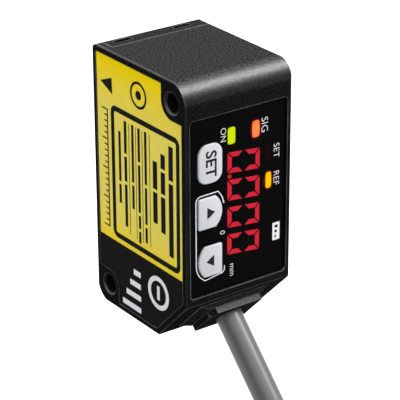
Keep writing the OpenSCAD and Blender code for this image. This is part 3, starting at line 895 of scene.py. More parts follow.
def disc(middle: Point, radius: float, count: int) -> list[Point]:
    """Outline of a circle with so many points, counter-clockwise."""
    return arc(middle, radius, 0, 360 - 360 / count, count - 1)


def rounded_rect(middle: Point, size: Point, radius: float, steps: int = 6) -> list[Point]:
    """Outline of a rectangle with round corners, counter-clockwise.

    Args:
        middle: its centre.
        size: width and height.
        radius: radius of its corners.
        steps: steps in each corner.

    Returns:
        The points.
    """
    out_x, out_y = size[0] / 2 - radius, size[1] / 2 - radius
    points = []
    for i, (sx, sy) in enumerate([(1, 1), (-1, 1), (-1, -1), (1, -1)]):
        corner = (middle[0] + sx * out_x, middle[1] + sy * out_y)
        points += arc(corner, radius, 90 * i, 90 * i + 90, steps)
    return points


def inset(outline: Sequence[Point], distance: float) -> list[Point]:
    """Moves a counter-clockwise outline inwards, point by point.

    Args:
        outline: its points.
        distance: how far they move, below 0 for outwards.

    Returns:
        The moved points.
    """
    count = len(outline)
    moved = []
    for i, (x, y) in enumerate(outline):
        ahead, behind = outline[(i + 1) % count], outline[i - 1]
        way = Vector((ahead[0] - behind[0], ahead[1] - behind[1]))
        way.normalize()
        moved.append((x - way.y * distance, y + way.x * distance))
    return moved


def join_loops(form: Form, loops: Sequence[Sequence[bmesh.types.BMVert]]) -> None:
    """Joins closed loops of equally many points with quads, one to the next.

    Args:
        form: the mesh to add to.
        loops: the loops' vertices.
    """
    for low, high in zip(loops, loops[1:]):
        count = len(low)
        for i in range(count):
            j = (i + 1) % count
            form.faces.new((low[i], low[j], high[j], high[i]))


def close_loops(form: Form, loops: Sequence[Sequence[bmesh.types.BMVert]]) -> None:
    """Joins loops as join_loops does, and closes the first and the last with a face.

    Args:
        form: the mesh to add to.
        loops: the loops' vertices.
    """
    join_loops(form, loops)
    form.faces.new(loops[0])
    form.faces.new(loops[-1])


# Studio


@dataclass
class Softbox:
    """One area light that looks at the sensor.

    Attributes:
        name: its name.
        place: where it stands, in metres.
        size: width and height in metres.
        power: watts.
    """

    name: str
    place: Triple
    size: Point
    power: float

    def build(self) -> None:
        """Adds the light."""
        data = bpy.data.lights.new(self.name, "AREA")
        data.shape = "RECTANGLE"
        data.size, data.size_y = self.size
        data.energy = self.power
        light = add_object(self.name, data)
        light.location = self.place
        light.rotation_mode = "QUATERNION"
        light.rotation_quaternion = (-Vector(self.place)).to_track_quat("-Z", "Y")


@dataclass
class Studio:
    """Camera, soft lights and a pale floor.

    Attributes:
        eye: camera's place in millimetres from the case's corner.
        yaw: turn of the view to the right of +Y, in radians.
        pitch: how far the view looks down, in radians.
        roll: turn about the line of sight, in radians.
        focal_px: focal length in pixels of the frame.
        frame_px: width of the frame in pixels.
        sensor_mm: width of the camera's sensor in millimetres.
        clip: nearest and farthest distance that the camera sees, in metres.
        floor_z: height of the floor in millimetres from the case's corner.
        floor_reach: half of the floor's width in metres.
        sky_light: brightness of the ceiling overhead.
        horizon_light: brightness of the surroundings near the horizon.
        sky_heights: heights of a direction between which one passes into the other.
        softboxes: the area lights.
    """

    eye: Triple = (-156.06, -219.92, 147.57)
    yaw: float = 0.625
    pitch: float = 0.423
    roll: float = -0.004
    focal_px: float = 1979.7
    frame_px: float = 400.0
    sensor_mm: float = 36.0
    clip: Point = (0.01, 20.0)
    floor_z: float = -34.5
    floor_reach: float = 4.0
    sky_light: float = 1.9
    horizon_light: float = 0.13
    sky_heights: Point = (0.45, 0.85)
    softboxes: tuple[Softbox, ...] = (
        Softbox("round_edge_box", (0.375, -0.17, 0.52), (0.38, 0.26), 5.4),
        Softbox("front_box", (-0.10, -0.70, 0.40), (0.5, 0.4), 0.15),
    )

    def build(self) -> None:
        """Adds everything that isn't the sensor."""
        self.add_camera()
        self.add_world()
        self.add_floor()
        for box in self.softboxes:
            box.build()

    def add_camera(self) -> None:
        """Adds the camera at the photograph's angle."""
        data = bpy.data.cameras.new("camera")
        data.sensor_width = self.sensor_mm
        data.lens = self.focal_px / self.frame_px * self.sensor_mm
        data.clip_start, data.clip_end = self.clip
        camera = add_object("camera", data)
        level = math.cos(self.pitch)
        ahead = (math.sin(self.yaw) * level, math.cos(self.yaw) * level, -math.sin(self.pitch))
        upright = Vector(ahead).to_track_quat("-Z", "Y")
        camera.location = at(*self.eye)
        camera.rotation_mode = "QUATERNION"
        camera.rotation_quaternion = upright @ Matrix.Rotation(self.roll, 3, "Z").to_quaternion()
        bpy.context.scene.camera = camera

    def add_world(self) -> None:
        """Adds a studio ceiling that is bright overhead and dim near the horizon."""
        world = bpy.data.worlds.new("studio")
        graph = Graph(world)
        way = graph.node("ShaderNodeTexCoord", {}, {}, "Generated")
        overhead = graph.along("Z", way).above(*self.sky_heights)
        light = graph.mix(overhead, (self.horizon_light,) * 3, (self.sky_light,) * 3)
        sky = graph.node("ShaderNodeBackground", {}, {"Color": light})
        graph.node("ShaderNodeOutputWorld", {}, {"Surface": sky})
        bpy.context.scene.world = world
        bpy.context.scene.view_settings.view_transform = "Standard"

    def add_floor(self) -> None:
        """Adds the floor that the coil lies on."""
        form = bmesh.new()
        bmesh.ops.create_grid(form, x_segments=8, y_segments=8, size=self.floor_reach)
        bmesh.ops.translate(form, verts=form.verts, vec=(0, 0, at(0, 0, self.floor_z).z))
        floor = add_mesh("floor", form)
        FLOOR_WHITE.dress(floor)


# Cable


@dataclass
class Cable:
    """The fixed cable: out of the chamfer, round one bend, into a tied coil, and its stripped end.

    Lengths are in millimetres and places in millimetres from the case's corner, as in part.scad.

    Attributes:
        diameter: of the jacket.
        length: of the whole cable; not used.
        middle_x: x of the outlet.
        chamfer_mid: y and z of the chamfer's middle.
        inner_end: how far the jacket reaches into the case, along its axis.
        outlet: how far the cable's way out stands off the chamfer; not used.
        straight: length from the chamfer to the bend.
        straight_steps: points on that length.
        bend_steps: steps in the bend.
        strand: distance between turns of the coil.
        rows: layers of the coil.
        columns: turns in a layer.
        coil_y: y of the coil's axis.
        coil_low: height of the coil's underside.
        turns: number of turns.
        points_a_turn: points on each turn.
        crossing: share of a turn in which the cable crosses to the next place.
        tail: length of the straight end.
        lead_length: length of a lead, with its bare tip.
        lead_d: diameter of a lead.
        lead_ring: radius of the ring of leads.
        lead_fan: angle by which the leads spread, in degrees.
        bare_tip: length of a lead's bare tip.
        tip_share: radius of a bare tip as a share of the lead's diameter.
        tie_angles: where the straps are, in degrees round the coil.
        tie_width: width of a strap.
        tie_t: thickness of a strap.
        tie_gap: space between a strap and the coil, both sides together.
        lap_length: length of a strap's lapped end.
        lap_width: width of the lapped end as a share of the strap's.
    """

    diameter: float = 4.4
    length: float = 2000.0
    middle_x: float = 10.0
    chamfer_mid: float = 3.9
    inner_end: float = 3.3
    outlet: float = 1.75
    straight: float = 22.5
    straight_steps: int = 6
    bend_steps: int = 6
    strand: float = 4.45
    rows: int = 4
    columns: int = 3
    coil_y: float = -40.0
    coil_low: float = -34.0
    turns: float = 11.5
    points_a_turn: int = 32
    crossing: float = 0.2
    tail: float = 24.0
    lead_length: float = 30.0
    lead_d: float = 1.1
    lead_ring: float = 1.25
    lead_fan: float = 7.0
    bare_tip: float = 6.0
    tip_share: float = 0.32
    tie_angles: Point = (115.0, 295.0)
    tie_width: float = 5.0
    tie_t: float = 0.45
    tie_gap: float = 0.04
    lap_length: float = 7.0
    lap_width: float = 0.96

    def __post_init__(self) -> None:
        """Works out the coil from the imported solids."""
        low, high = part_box("cable_coil")
        self.outer_r = (high.y - low.y) / 2 / MM - self.diameter / 2
        self.coil_x = self.middle_x - self.outer_r
        self.top_z = self.coil_low + self.diameter / 2 + (self.rows - 1) * self.strand
        self.mid_r = self.outer_r - (self.columns - 1) / 2 * self.strand

    def run_points(self) -> list[Vector]:
        """Works out the cable's way from its inner end to the coil.

        Returns:
            Points on its centreline.
        """
        slant = math.sqrt(0.5)
        inner = self.chamfer_mid + self.inner_end * slant
        turn_in = self.chamfer_mid - self.straight * slant
        radius = (turn_in - self.top_z) / (1 - slant)
        steps = range(self.straight_steps)
        flat = [(inner + (turn_in - inner) * i / self.straight_steps,) * 2 for i in steps]
        for i in range(self.bend_steps + 1):
            slope = math.radians(45 * (1 - i / self.bend_steps))
            y = turn_in - radius * (slant - math.sin(slope))
            z = turn_in - radius * (math.cos(slope) - slant)
            flat.append((y, z))
        last = flat[-1][0]
        flat += [(last + (self.coil_y - last) * i / 3, self.top_z) for i in (1, 2)]
        return [at(self.middle_x, y, z) for y, z in flat]

    def slots(self) -> list[Point]:
        """Works out where each turn lies, in winding order from the top outside.

        Returns:
            Radius and height of each turn.
        """
        radii = [self.outer_r - column * self.strand for column in range(self.columns)]
        found = []
        for row in range(self.rows):
            z = self.top_z - row * self.strand
            found += [(r, z) for r in (radii if row % 2 == 0 else radii[::-1])]
        return found

    def coil_points(self) -> list[Vector]:
        """Works out the coil's turns, clockwise from above.

        Returns:
            Points on its centreline.
        """
        slots = self.slots()
        points = []
        for step in range(int(self.turns * self.points_a_turn) + 1):
            turn = step / self.points_a_turn
            here = min(int(turn), len(slots) - 1)
            after = slots[min(here + 1, len(slots) - 1)]
            share = smooth((turn - here - 1 + self.crossing) / self.crossing)
            radius, z = (a + (b - a) * share for a, b in zip(slots[here], after))
            angle = -2 * math.pi * turn
            x = self.coil_x + radius * math.cos(angle)
            y = self.coil_y + radius * math.sin(angle)
            points.append(at(x, y, z))
        return points

    def tail_points(self) -> list[Vector]:
        """Points of the straight end after the coil."""
        x, z = self.coil_x - self.outer_r, self.coil_low + self.diameter / 2
        return [at(x, self.coil_y + self.tail * i / 4, z) for i in range(1, 5)]

    def build(self) -> None:
        points = self.run_points() + self.coil_points() + self.tail_points()
        jacket = self.tube("cable_jacket", points, self.diameter / 2 * MM)
        settle(jacket, CABLE_GREY)
        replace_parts(jacket, "cable", "cable_coil", "cable_tail")
        ties = self.add_ties()
        leads = self.add_leads(points[-1])

    @staticmethod
    def tube(name: str, points: Sequence[Vector], radius: float) -> Piece:
        """Makes a round tube along points.

        Args:
            name: the piece's name.
            points: its centreline.
            radius: in metres.

        Returns:
            The curve object.
        """
        curve = bpy.data.curves.new(name, "CURVE")
        curve.dimensions = "3D"
        curve.bevel_depth = radius
        curve.bevel_resolution = 6
        curve.use_fill_caps = True
        spline = curve.splines.new("POLY")
        spline.points.add(len(points) - 1)
        for slot, point in zip(spline.points, points):
            slot.co = (*point, 1.0)
        return add_object(name, curve)

    def add_ties(self) -> Piece:
        """Makes the two straps round the coil, each with its lapped end.

        Returns:
            Both straps as one piece.
        """
        width = (self.columns - 1) * self.strand + self.diameter
        height = (self.rows - 1) * self.strand + self.diameter
        centre = Matrix.Translation(at(self.coil_x, self.coil_y, self.coil_low + height / 2))
        round_coil = (width + self.tie_gap, height + self.tie_gap)
        inside = rounded_rect((self.mid_r, 0), round_coil, self.diameter / 2)
        outside = inset(inside, -self.tie_t)
        lap_r = self.mid_r - width / 2 - 0.75 * self.tie_t
        lap = rounded_rect((lap_r, 0), (0.5 * self.tie_t, self.lap_length), 0.1, 2)
        half, lap_half = self.tie_width / 2, self.tie_width * self.lap_width / 2
        form = bmesh.new()
        for angle in self.tie_angles:
            place = centre @ Matrix.Rotation(math.radians(angle), 4, "Z")
            sides = ((inside, -half), (outside, -half), (outside, half), (inside, half))
            loops = [self.strap_loop(form, place, outline, side) for outline, side in sides]
            join_loops(form, [*loops, loops[0]])
            ends = (-lap_half, lap_half)
            close_loops(form, [self.strap_loop(form, place, lap, side) for side in ends])
        ties = add_mesh("coil_straps", form, rounded=True)
        settle(ties, TIE_BLACK)
        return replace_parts(ties, "coil_ties")

    @staticmethod
    def strap_loop(
        form: Form, place: Matrix, outline: Iterable[Point], side: float
    ) -> list[bmesh.types.BMVert]:
        """Vertices of an outline in (radius, height), shifted along the turns by side."""
        return [form.verts.new(place @ (MM * Vector((r, side, z)))) for r, z in outline]

    def add_leads(self, end: Vector) -> list[Piece]:
        """Makes the stripped wires, each with a tinned tip.

        Args:
            end: where the jacket ends.

        Returns:
            The pieces.
        """
        made = []
        insulation = self.lead_length - self.bare_tip
        for i, lead in enumerate(Lead):
            turn = math.radians(90 + i * 360 / len(Lead))
            fan = math.radians(self.lead_fan * math.cos(turn))
            start = end + self.lead_ring * MM * Vector((math.cos(turn), 0, math.sin(turn)))
            way = MM * Vector((math.sin(fan), math.cos(fan), 0))
            skin = [start + way * insulation * k / 6 for k in range(7)]
            core = [
                start + way * (insulation - 0.5 + (self.bare_tip + 0.4) * k / 3) for k in range(4)
            ]
            colour = lead.name.lower()
            wire = self.tube(f"lead_{colour}", skin, self.lead_d / 2 * MM)
            tip = self.tube(f"lead_tip_{colour}", core, self.lead_d * self.tip_share * MM)
            made.append(settle(wire, lead.finish()))
            made.append(settle(tip, TIN))
        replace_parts(made[0], "cable_leads")
        return made


# Print


@dataclass(frozen=True)
class Face:
    """A flat face that carries print. Shapes on it are given in two of the frame's axes.

    Attributes:
        depth: the face's place along its normal, in millimetres from the case's corner.
        across: frame axis of a shape's first number.
        normal: outward normal.
        tops: the way that the tops of letters point; letters read downwards.
    """

    depth: float
    across: int
    normal: Triple
    tops: Triple

    def point(self, place: Point, out: float) -> Vector:
        """Turns a place on the face into a frame point.

        Args:
            place: the place, in millimetres.
            out: how far it is lifted off the face, in millimetres.

        Returns:
            The frame point.
        """
        where = [self.depth, self.depth, place[1]]
        where[self.across] = place[0]
        return at(*where) + out * MM * Vector(self.normal)

    def letters(self, place: Point, height: float) -> Matrix:
        """Works out where letters go.

        Args:
            place: their middle, in millimetres.
            height: height of a capital, in millimetres.

        Returns:
            The matrix that takes letters of height 1 there.
        """
        reading = Vector((0, 0, -1))
        axes = Matrix((reading, Vector(self.tops), Vector(self.normal)))
        turn = axes.transposed().to_4x4()
        return Matrix.Translation(self.point(place, 0)) @ turn @ Matrix.Scale(height * MM, 4)


LABEL_FACE = Face(0.10, 1, (-1, 0, 0), (0, -1, 0))
PANEL_FACE = Face(0.40, 0, (0, -1, 0), (1, 0, 0))
KEY_FACE = Face(0.20, 0, (0, -1, 0), (1, 0, 0))


@dataclass(frozen=True)
class WordRow:
    """A row of plain bars that reads downwards, in place of words.

    Attributes:
        across: middle of the row across the face.
        top: upper end of the row.
        width: width of the row.
        lengths: length of each bar.
    """

    across: float
    top: float
    width: float
    lengths: tuple[float, ...]


@dataclass(frozen=True)
class Legend:
    """Letters or figures that read downwards.

    Attributes:
        text: the letters.
        place: their middle on the face.
        height: height of a capital.
        weight: how much bolder than plain their strokes are, as a share of that height.
    """

    text: str
    place: Point
    height: float
    weight: float


@dataclass
class Print:
    """Shapes printed on a face in one colour, gathered into one thin piece.

    Sizes are in millimetres.

    Attributes:
        face: what it is printed on.
        thick: how far it stands off the face.
        sunk: how far it reaches into the face.
        form: the mesh so far.
    """

    face: Face
    thick: float = 0.02
    sunk: float = 0.004
    form: Form = field(default_factory=bmesh.new)

    def loop(self, outline: Iterable[Point], out: float) -> list[bmesh.types.BMVert]:
        """Vertices of an outline at a height over the face."""
        return [self.form.verts.new(self.face.point(p, out)) for p in outline]

    def patch(self, outline: Sequence[Point]) -> None:
        """Prints a filled shape."""
        loops = [self.loop(outline, -self.sunk), self.loop(outline, self.thick)]
        close_loops(self.form, loops)

    def band(self, outline: Sequence[Point], width: float) -> None:
        """Prints a closed line of that width inside an outline."""
        self.between(outline, inset(outline, width))

    def between(self, outline: Sequence[Point], inner: Sequence[Point]) -> None:
        """Prints what lies between two closed outlines.

        Args:
            outline: the outer one.
            inner: the inner one, with equally many points.
        """
        low, low_in = self.loop(outline, -self.sunk), self.loop(inner, -self.sunk)
        high, high_in = self.loop(outline, self.thick), self.loop(inner, self.thick)
        join_loops(self.form, [low, high, high_in, low_in, low])

    def line(self, points: Sequence[Point], width: float) -> None:
        """Prints an open line.

        Args:
            points: what it goes through.
            width: its width.
        """
        sides: list[list[Point]] = [[], []]
        for i, (x, y) in enumerate(points):
            ahead, behind = points[min(i + 1, len(points) - 1)], points[max(i - 1, 0)]
            way = Vector((ahead[0] - behind[0], ahead[1] - behind[1])).normalized() * width / 2
            sides[0].append((x - way.y, y + way.x))
            sides[1].append((x + way.y, y - way.x))
        self.patch(sides[0] + sides[1][::-1])

    def bar(self, low: Point, high: Point, radius: float = 0.06) -> None:
        """Prints a rectangle.

        Args:
            low: its lowest corner.
            high: its highest corner.
            radius: radius of its corners, less on a thin bar.
        """
        middle = ((low[0] + high[0]) / 2, (low[1] + high[1]) / 2)
        size = (abs(high[0] - low[0]), abs(high[1] - low[1]))
        self.patch(rounded_rect(middle, size, min(radius, min(size) * 0.45), 2))

    def stroke(self, middle: Point, size: Point) -> None:
        """Prints a rectangle round its middle.

        Args:
            middle: its middle.
            size: its width and height.
        """
        half_w, half_h = size[0] / 2, size[1] / 2
        x, y = middle
        self.bar((x - half_w, y - half_h), (x + half_w, y + half_h))

    def words(self, row: WordRow, gap: float) -> None:
        """Prints a row of plain bars.

        Args:
            row: the bars.
            gap: space between them.
        """
        top = row.top
        for length in row.lengths:
            self.bar((row.across - row.width / 2, top - length), (row.across + row.width / 2, top))
            top -= length + gap

    def letters(self, legend: Legend) -> None:
        """Prints letters or figures.

        Args:
            legend: what to print.
        """
        curve = bpy.data.curves.new("letters", "FONT")
        curve.body = legend.text
        curve.align_x, curve.align_y = "CENTER", "CENTER"
        curve.size = 1.38
        curve.resolution_u = 4
        curve.offset = legend.weight / 2
        curve.extrude = self.thick / legend.height
        shown = add_object("letters", curve)
        bpy.context.view_layer.update()
        solid = shown.evaluated_get(bpy.context.evaluated_depsgraph_get())
        mesh = bpy.data.meshes.new_from_object(solid)
        bpy.data.objects.remove(shown)
        bpy.data.curves.remove(curve)
        mesh.transform(self.face.letters(legend.place, legend.height))
        self.form.from_mesh(mesh)
        bpy.data.meshes.remove(mesh)

    def finish(self, name: str, look: Finish, slot: str, body: str = SENSOR) -> Piece:
        """Ends the print and settles it as a piece."""
        return settle(add_mesh(name, self.form), look, body)


# Sub-assemblies


@dataclass
class Housing:
    """Die-cast case, bonded front cover, windows and cable outlet.

    Attributes:
        looks: finish of each node.
    """

    looks: Mapping[str, Finish] = field(
        default_factory=lambda: {
            "case": CASE_BLACK,
            "front_cover": COVER_BLACK,
            "front_gasket": SEAL_RUBBER,
            "emitter_window": WINDOW_TINT,
            "receiver_window": WINDOW_TINT,
            "cable_gland": GLAND_BLACK,
            "gland_seal": SEAL_RUBBER,
            "cable_crimp": BRIGHT_STEEL,
        }
    )

    def build(self) -> None:
        """Dresses the solids."""
        dress_nodes(self.looks)


@dataclass
class Insides:
    """Optics and circuit boards behind the cover and the panel.

    Attributes:
        looks: finish of each node.
    """

    looks: Mapping[str, Finish] = field(
        default_factory=lambda: {
            "optical_base": OPTICS_BLACK,
            "laser_holder": HOLDER_BRASS,
            "laser_diode": BRIGHT_STEEL,
            "projector_lens": LENS_GLASS,
            "lens_ring": OPTICS_BLACK,
            "receiver_lens": LENS_GLASS,
            "image_sensor": CHIP_BLACK,
            "main_board": BOARD_GREEN,
            "display_board": BOARD_GREEN,
            "processor": CHIP_BLACK,
            "laser_driver": CHIP_BLACK,
            "board_screws": BRIGHT_STEEL,
            "board_connector": CONNECTOR_IVORY,
            "wire_plug": CONNECTOR_IVORY,
            "core_wires": Lead.BROWN.finish(),
            "tact_switches": BRIGHT_STEEL,
            "digit_display": DISPLAY_BLACK,
        }
    )

    def build(self) -> None:
        """Dresses the solids."""
        dress_nodes(self.looks)


@dataclass
class SideLabels:
    """Yellow and black label on the side, with plain print.

    Places are (y, z) in millimetres from the case's corner.

    Attributes:
        frame_low: lower corner of the printed frame.
        frame_high: upper corner of the printed frame.
        frame_line: width of the frame's line.
        frame_r: radius of the frame's corners.
        pointer: corners of the triangle that points to the beam.
        target: middle of the ring with a dot.
        target_r: radius of that ring.
        target_line: width of its line.
        dot_r: radius of its dot.
        rows: plain bars in place of words.
        word_gap: space between bars in a row.
        rules: y of the thin lines between rows.
        rule_in: distance of their ends from the frame.
        rule_line: width of their lines.
        scale_y: y of the millimetre scale's line.
        scale_top: its upper end.
        scale_steps: its length in millimetres.
        scale_line: width of its line.
        ticks: length of its short and long ticks.
        tick_line: width of its ticks.
        ring_at: middle of the ring with a stroke, on the black label.
        ring_r: radius of that ring.
        ring_line: width of its line.
        ring_stroke: width and height of its stroke.
        bars_at: middle of the stack of bars, on the black label.
        bar_lengths: lengths of those bars from the lowest up.
        bar_step: distance from one bar to the next.
        bar_t: thickness of a bar.
    """

    frame_low: Point = (1.7, 12.8)
    frame_high: Point = (20.1, 35.3)
    frame_line: float = 0.9
    frame_r: float = 1.3
    pointer: tuple[Point, ...] = ((22.85, 38.37), (19.59, 36.96), (19.66, 39.65))
    target: Point = (12.4, 39.0)
    target_r: float = 2.2
    target_line: float = 0.42
    dot_r: float = 0.75
    rows: tuple[WordRow, ...] = (
        WordRow(4.0, 33.4, 1.15, (5.6, 12.2)),
        WordRow(6.1, 31.4, 1.15, (2.4, 3.6, 6.0)),
        WordRow(8.2, 29.6, 1.15, (4.6, 5.2)),
        WordRow(10.7, 33.6, 0.6, (8.8, 6.2, 2.6)),
        WordRow(12.5, 33.6, 0.6, (5.6, 8.0, 2.2, 2.0)),
        WordRow(14.2, 33.6, 0.6, (9.6, 4.0)),
        WordRow(16.2, 33.6, 0.7, (5.4, 4.2, 7.2)),
        WordRow(17.8, 31.4, 0.6, (8.4, 3.2)),
    )
    word_gap: float = 0.55
    rules: tuple[float, ...] = (9.6, 11.6, 13.35, 15.2)
    rule_in: float = 1.8
    rule_line: float = 0.12
    scale_y: float = 21.1
    scale_top: float = 34.0
    scale_steps: int = 20
    scale_line: float = 0.28
    ticks: Point = (0.95, 1.55)
    tick_line: float = 0.22
    ring_at: Point = (7.7, 7.4)
    ring_r: float = 2.85
    ring_line: float = 0.8
    ring_stroke: Point = (0.7, 2.4)
    bars_at: Point = (15.2, 5.9)
    bar_lengths: tuple[float, ...] = (5.2, 4.1, 3.0, 1.9)
    bar_step: float = 2.1
    bar_t: float = 0.95

    def build(self) -> None:
        """Dresses both labels and prints on them."""
        dress_nodes({"yellow_label": LABEL_YELLOW, "lower_label": LABEL_BLACK})
        self.print_black()
        self.print_white()

    def print_black(self) -> None:
        """Prints the frame, the pointer, the ring with a dot, the scale and the plain rows."""
        ink = Print(LABEL_FACE)
        low, high = self.frame_low, self.frame_high
        middle = ((low[0] + high[0]) / 2, (low[1] + high[1]) / 2)
        size = (high[0] - low[0], high[1] - low[1])
        ink.band(rounded_rect(middle, size, self.frame_r), self.frame_line)
        ink.patch(self.pointer)
        ink.band(disc(self.target, self.target_r, 36), self.target_line)
        ink.patch(disc(self.target, self.dot_r, 24))
        for row in self.rows:
            ink.words(row, self.word_gap)
        for y in self.rules:
            ink.stroke((y, middle[1]), (self.rule_line, size[1] - 2 * self.rule_in))
        self.print_scale(ink)
        ink.finish("label_print_black", INK_BLACK, "label_black")

    def print_scale(self, ink: Print) -> None:
        """Prints a millimetre scale beside the frame.

        Args:
            ink: the print to add to.
        """
        length = self.scale_steps
        middle = (self.scale_y, self.scale_top - length / 2)
        ink.stroke(middle, (self.scale_line, length + self.tick_line))
        for step in range(length + 1):
            tick = self.ticks[step % 5 == 0]
            place = (self.scale_y + tick / 2, self.scale_top - step)
            ink.stroke(place, (tick, self.tick_line))

    def print_white(self) -> None:
        """Prints a ring with a stroke and a stack of shortening bars on the black label."""
        ink = Print(LABEL_FACE)
        ink.band(disc(self.ring_at, self.ring_r, 36), self.ring_line)
        ink.stroke(self.ring_at, self.ring_stroke)
        left = self.bars_at[0] - self.bar_lengths[0] / 2
        for i, length in enumerate(self.bar_lengths):
            low = self.bars_at[1] + (i - len(self.bar_lengths) / 2) * self.bar_step
            ink.bar((left, low), (left + length, low + self.bar_t))
        ink.finish("label_print_white", INK_WHITE, "label_yellow")


@dataclass(frozen=True)
class Glow:
    """How one light guide is lit.

    Attributes:
        node: the light guide.
        core: colour of its middle, linear.
        rim: colour of its rim, linear.
        strength: brightness.
        halo: colour of the stray light on the panel, None for none.
        reach: how far that goes past the light guide, in millimetres.
    """

    node: str
    core: Colour
    rim: Colour
    strength: float = 1.0
    halo: Colour | None = None
    reach: float = 0.0


@dataclass
class Display:
    """Panel with four red digits, lights and legends.

    Places are (x, z) in millimetres from the case's corner.

    Attributes:
        digit_x: x of the digits' middle.
        digit_z: z of the row's middle.
        pitch: distance from one digit to the next.
        digit_h: height of a digit.
        digit_w: width of a digit.
        stroke: width of a segment.
        segment_gap: half of the gap at a digit's corner.
        middle_gap: half of the gap at a digit's waist.
        lean: slant of the digits in degrees.
        digits: number of digits.
        point_r: radius of the decimal point.
        digit_core: colour of the segments, linear.
        digit_rim: their colour near the ends of the row, linear.
        glows: how each light guide is lit.
        halo_t: thickness of a halo.
        legends: the printed letters and figures.
        key_line: the line round the two arrow keys, as straight runs and arcs.
        key_line_w: width of that line.
        badge: lower and upper corner of the printed badge.
        badge_r: radius of its corners.
        badge_bars: lower and upper corner of each bar on it.
    """

    digit_x: float = 11.1
    digit_z: float = 22.85
    pitch: float = 4.55
    digit_h: float = 6.1
    digit_w: float = 3.4
    stroke: float = 0.78
    segment_gap: float = 0.15
    middle_gap: float = 0.26
    lean: float = 6.0
    digits: int = 4
    point_r: float = 0.34
    digit_core: Colour = (0.60, 0.016, 0.036)
    digit_rim: Colour = (0.50, 0.012, 0.03)
    glows: tuple[Glow, ...] = (
        Glow("laser_indicator", (0.66, 0.76, 0.0), (0.42, 0.66, 0.0)),
        Glow("output_indicator", (1.0, 0.25, 0.075), (1.0, 0.06, 0.01), 1.0, (1.0, 0.02, 0.0), 0.9),
        Glow("set_indicator", (0.012, 0.002, 0.002), (0.012, 0.002, 0.002), 0.5),
        Glow("zero_indicator", (1.0, 0.52, 0.0), (1.0, 0.22, 0.0), 1.1, (1.0, 0.10, 0.0), 0.8),
    )
    halo_t: float = 0.006
    legends: tuple[Legend, ...] = (
        Legend("ON", (7.2, 34.75), 1.1, -0.04),
        Legend("SIG", (15.0, 34.6), 1.3, -0.04),
        Legend("SET", (17.35, 29.8), 1.15, -0.04),
        Legend("REF", (17.35, 25.2), 1.15, -0.04),
        Legend("mm", (8.95, 11.85), 1.05, -0.03),
        Legend("0", (7.05, 18.7), 1.0, -0.04),
    )
    key_line: tuple[Point, ...] = (
        *((7.38, 23.6), (7.0, 24.8), (6.3, 25.82)),
        *arc((3.05, 24.85), 0.92, 95, 180, 6),
        *arc((5.2, 14.2), 3.05, 180, 232, 8),
        *((3.75, 11.42), (7.1, 11.9), (7.45, 12.25), (7.5, 13.0)),
    )
    key_line_w: float = 0.17
    badge: tuple[Point, Point] = ((16.8, 14.6), (18.2, 17.6))
    badge_r: float = 0.1
    badge_bars: tuple[tuple[Point, Point], ...] = (
        ((17.2, 15.0), (17.5, 15.45)),
        ((17.2, 15.85), (17.66, 16.3)),
        ((17.2, 16.7), (17.82, 17.15)),
    )

    def build(self) -> None:
        """Dresses the panel and its lights, lights the digits and prints the legends."""
        dress_nodes({"display_panel": PANEL_BLACK, "panel_seal": SEAL_RUBBER})
        for glow in self.glows:
            self.light_up(glow)
        self.add_digits()
        self.print_legends()

    def light_up(self, glow: Glow) -> None:
        """Lights one light guide, with a halo on the panel where it has one.

        Args:
            glow: how it is lit.
        """
        low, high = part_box(glow.node)
        middle, size = (low + high) / 2, high - low
        half = (size.x / 2, size.z / 2)
        finish = LitFinish(
            f"{glow.node}_glow", glow.core, 0.3, glow.rim, tuple(middle), half, glow.strength
        )
        dress_nodes({glow.node: finish})
        if glow.halo:
            self.add_halo(glow, middle, size)

    def add_halo(self, glow: Glow, middle: Vector, size: Vector) -> None:
        """Lays stray light on the panel round a light guide.

        Args:
            glow: how it is lit.
            middle: the light guide's middle.
            size: the light guide's size.
        """
        x, _, z = (middle - CORNER) / MM
        wide, _, tall = size / MM
        guide = rounded_rect((x, z), (wide, tall), 0.35, 8)
        half_w, half_h = wide / 2 + glow.reach, tall / 2 + glow.reach
        around = arc((0, 0), 1.0, 5, 355, len(guide) - 1)
        halo = Print(PANEL_FACE, thick=self.halo_t)
        halo.between([(x + half_w * a, z + half_h * b) for a, b in around], guide)
        name, unlit = f"{glow.node}_halo", (0.0, 0.0, 0.0)
        half = (half_w * MM, half_h * MM)
        finish = HaloFinish(name, glow.halo, 0.4, unlit, tuple(middle), half)
        halo.finish(name, finish, "panel_black")

    def spot(self, u: float, v: float, z: float) -> Point:
        """Place of a digit's point: u in reading order, v upwards in the digit."""
        return (self.digit_x + v, z - u - v * math.tan(math.radians(self.lean)))

    def segment(
        self, outer: float, start: float, end: float, upright: bool, z: float
    ) -> list[Point]:
        """Outline of one lit segment, with its ends cut at 45 degrees.

        Args:
            outer: place of its long outer side, from the digit's middle.
            start: lower end of that side.
            end: upper end of that side.
            upright: True for a segment beside the digit, False for one above or below.
            z: the digit's middle.

        Returns:
            Its corners on the panel.
        """
        inner = outer - math.copysign(self.stroke, outer)
        far, near = end - self.stroke, start + self.stroke
        sides = [(start, outer), (end, outer), (far, inner), (near, inner)]
        return [self.spot(*((b, a) if upright else (a, b)), z) for a, b in sides]

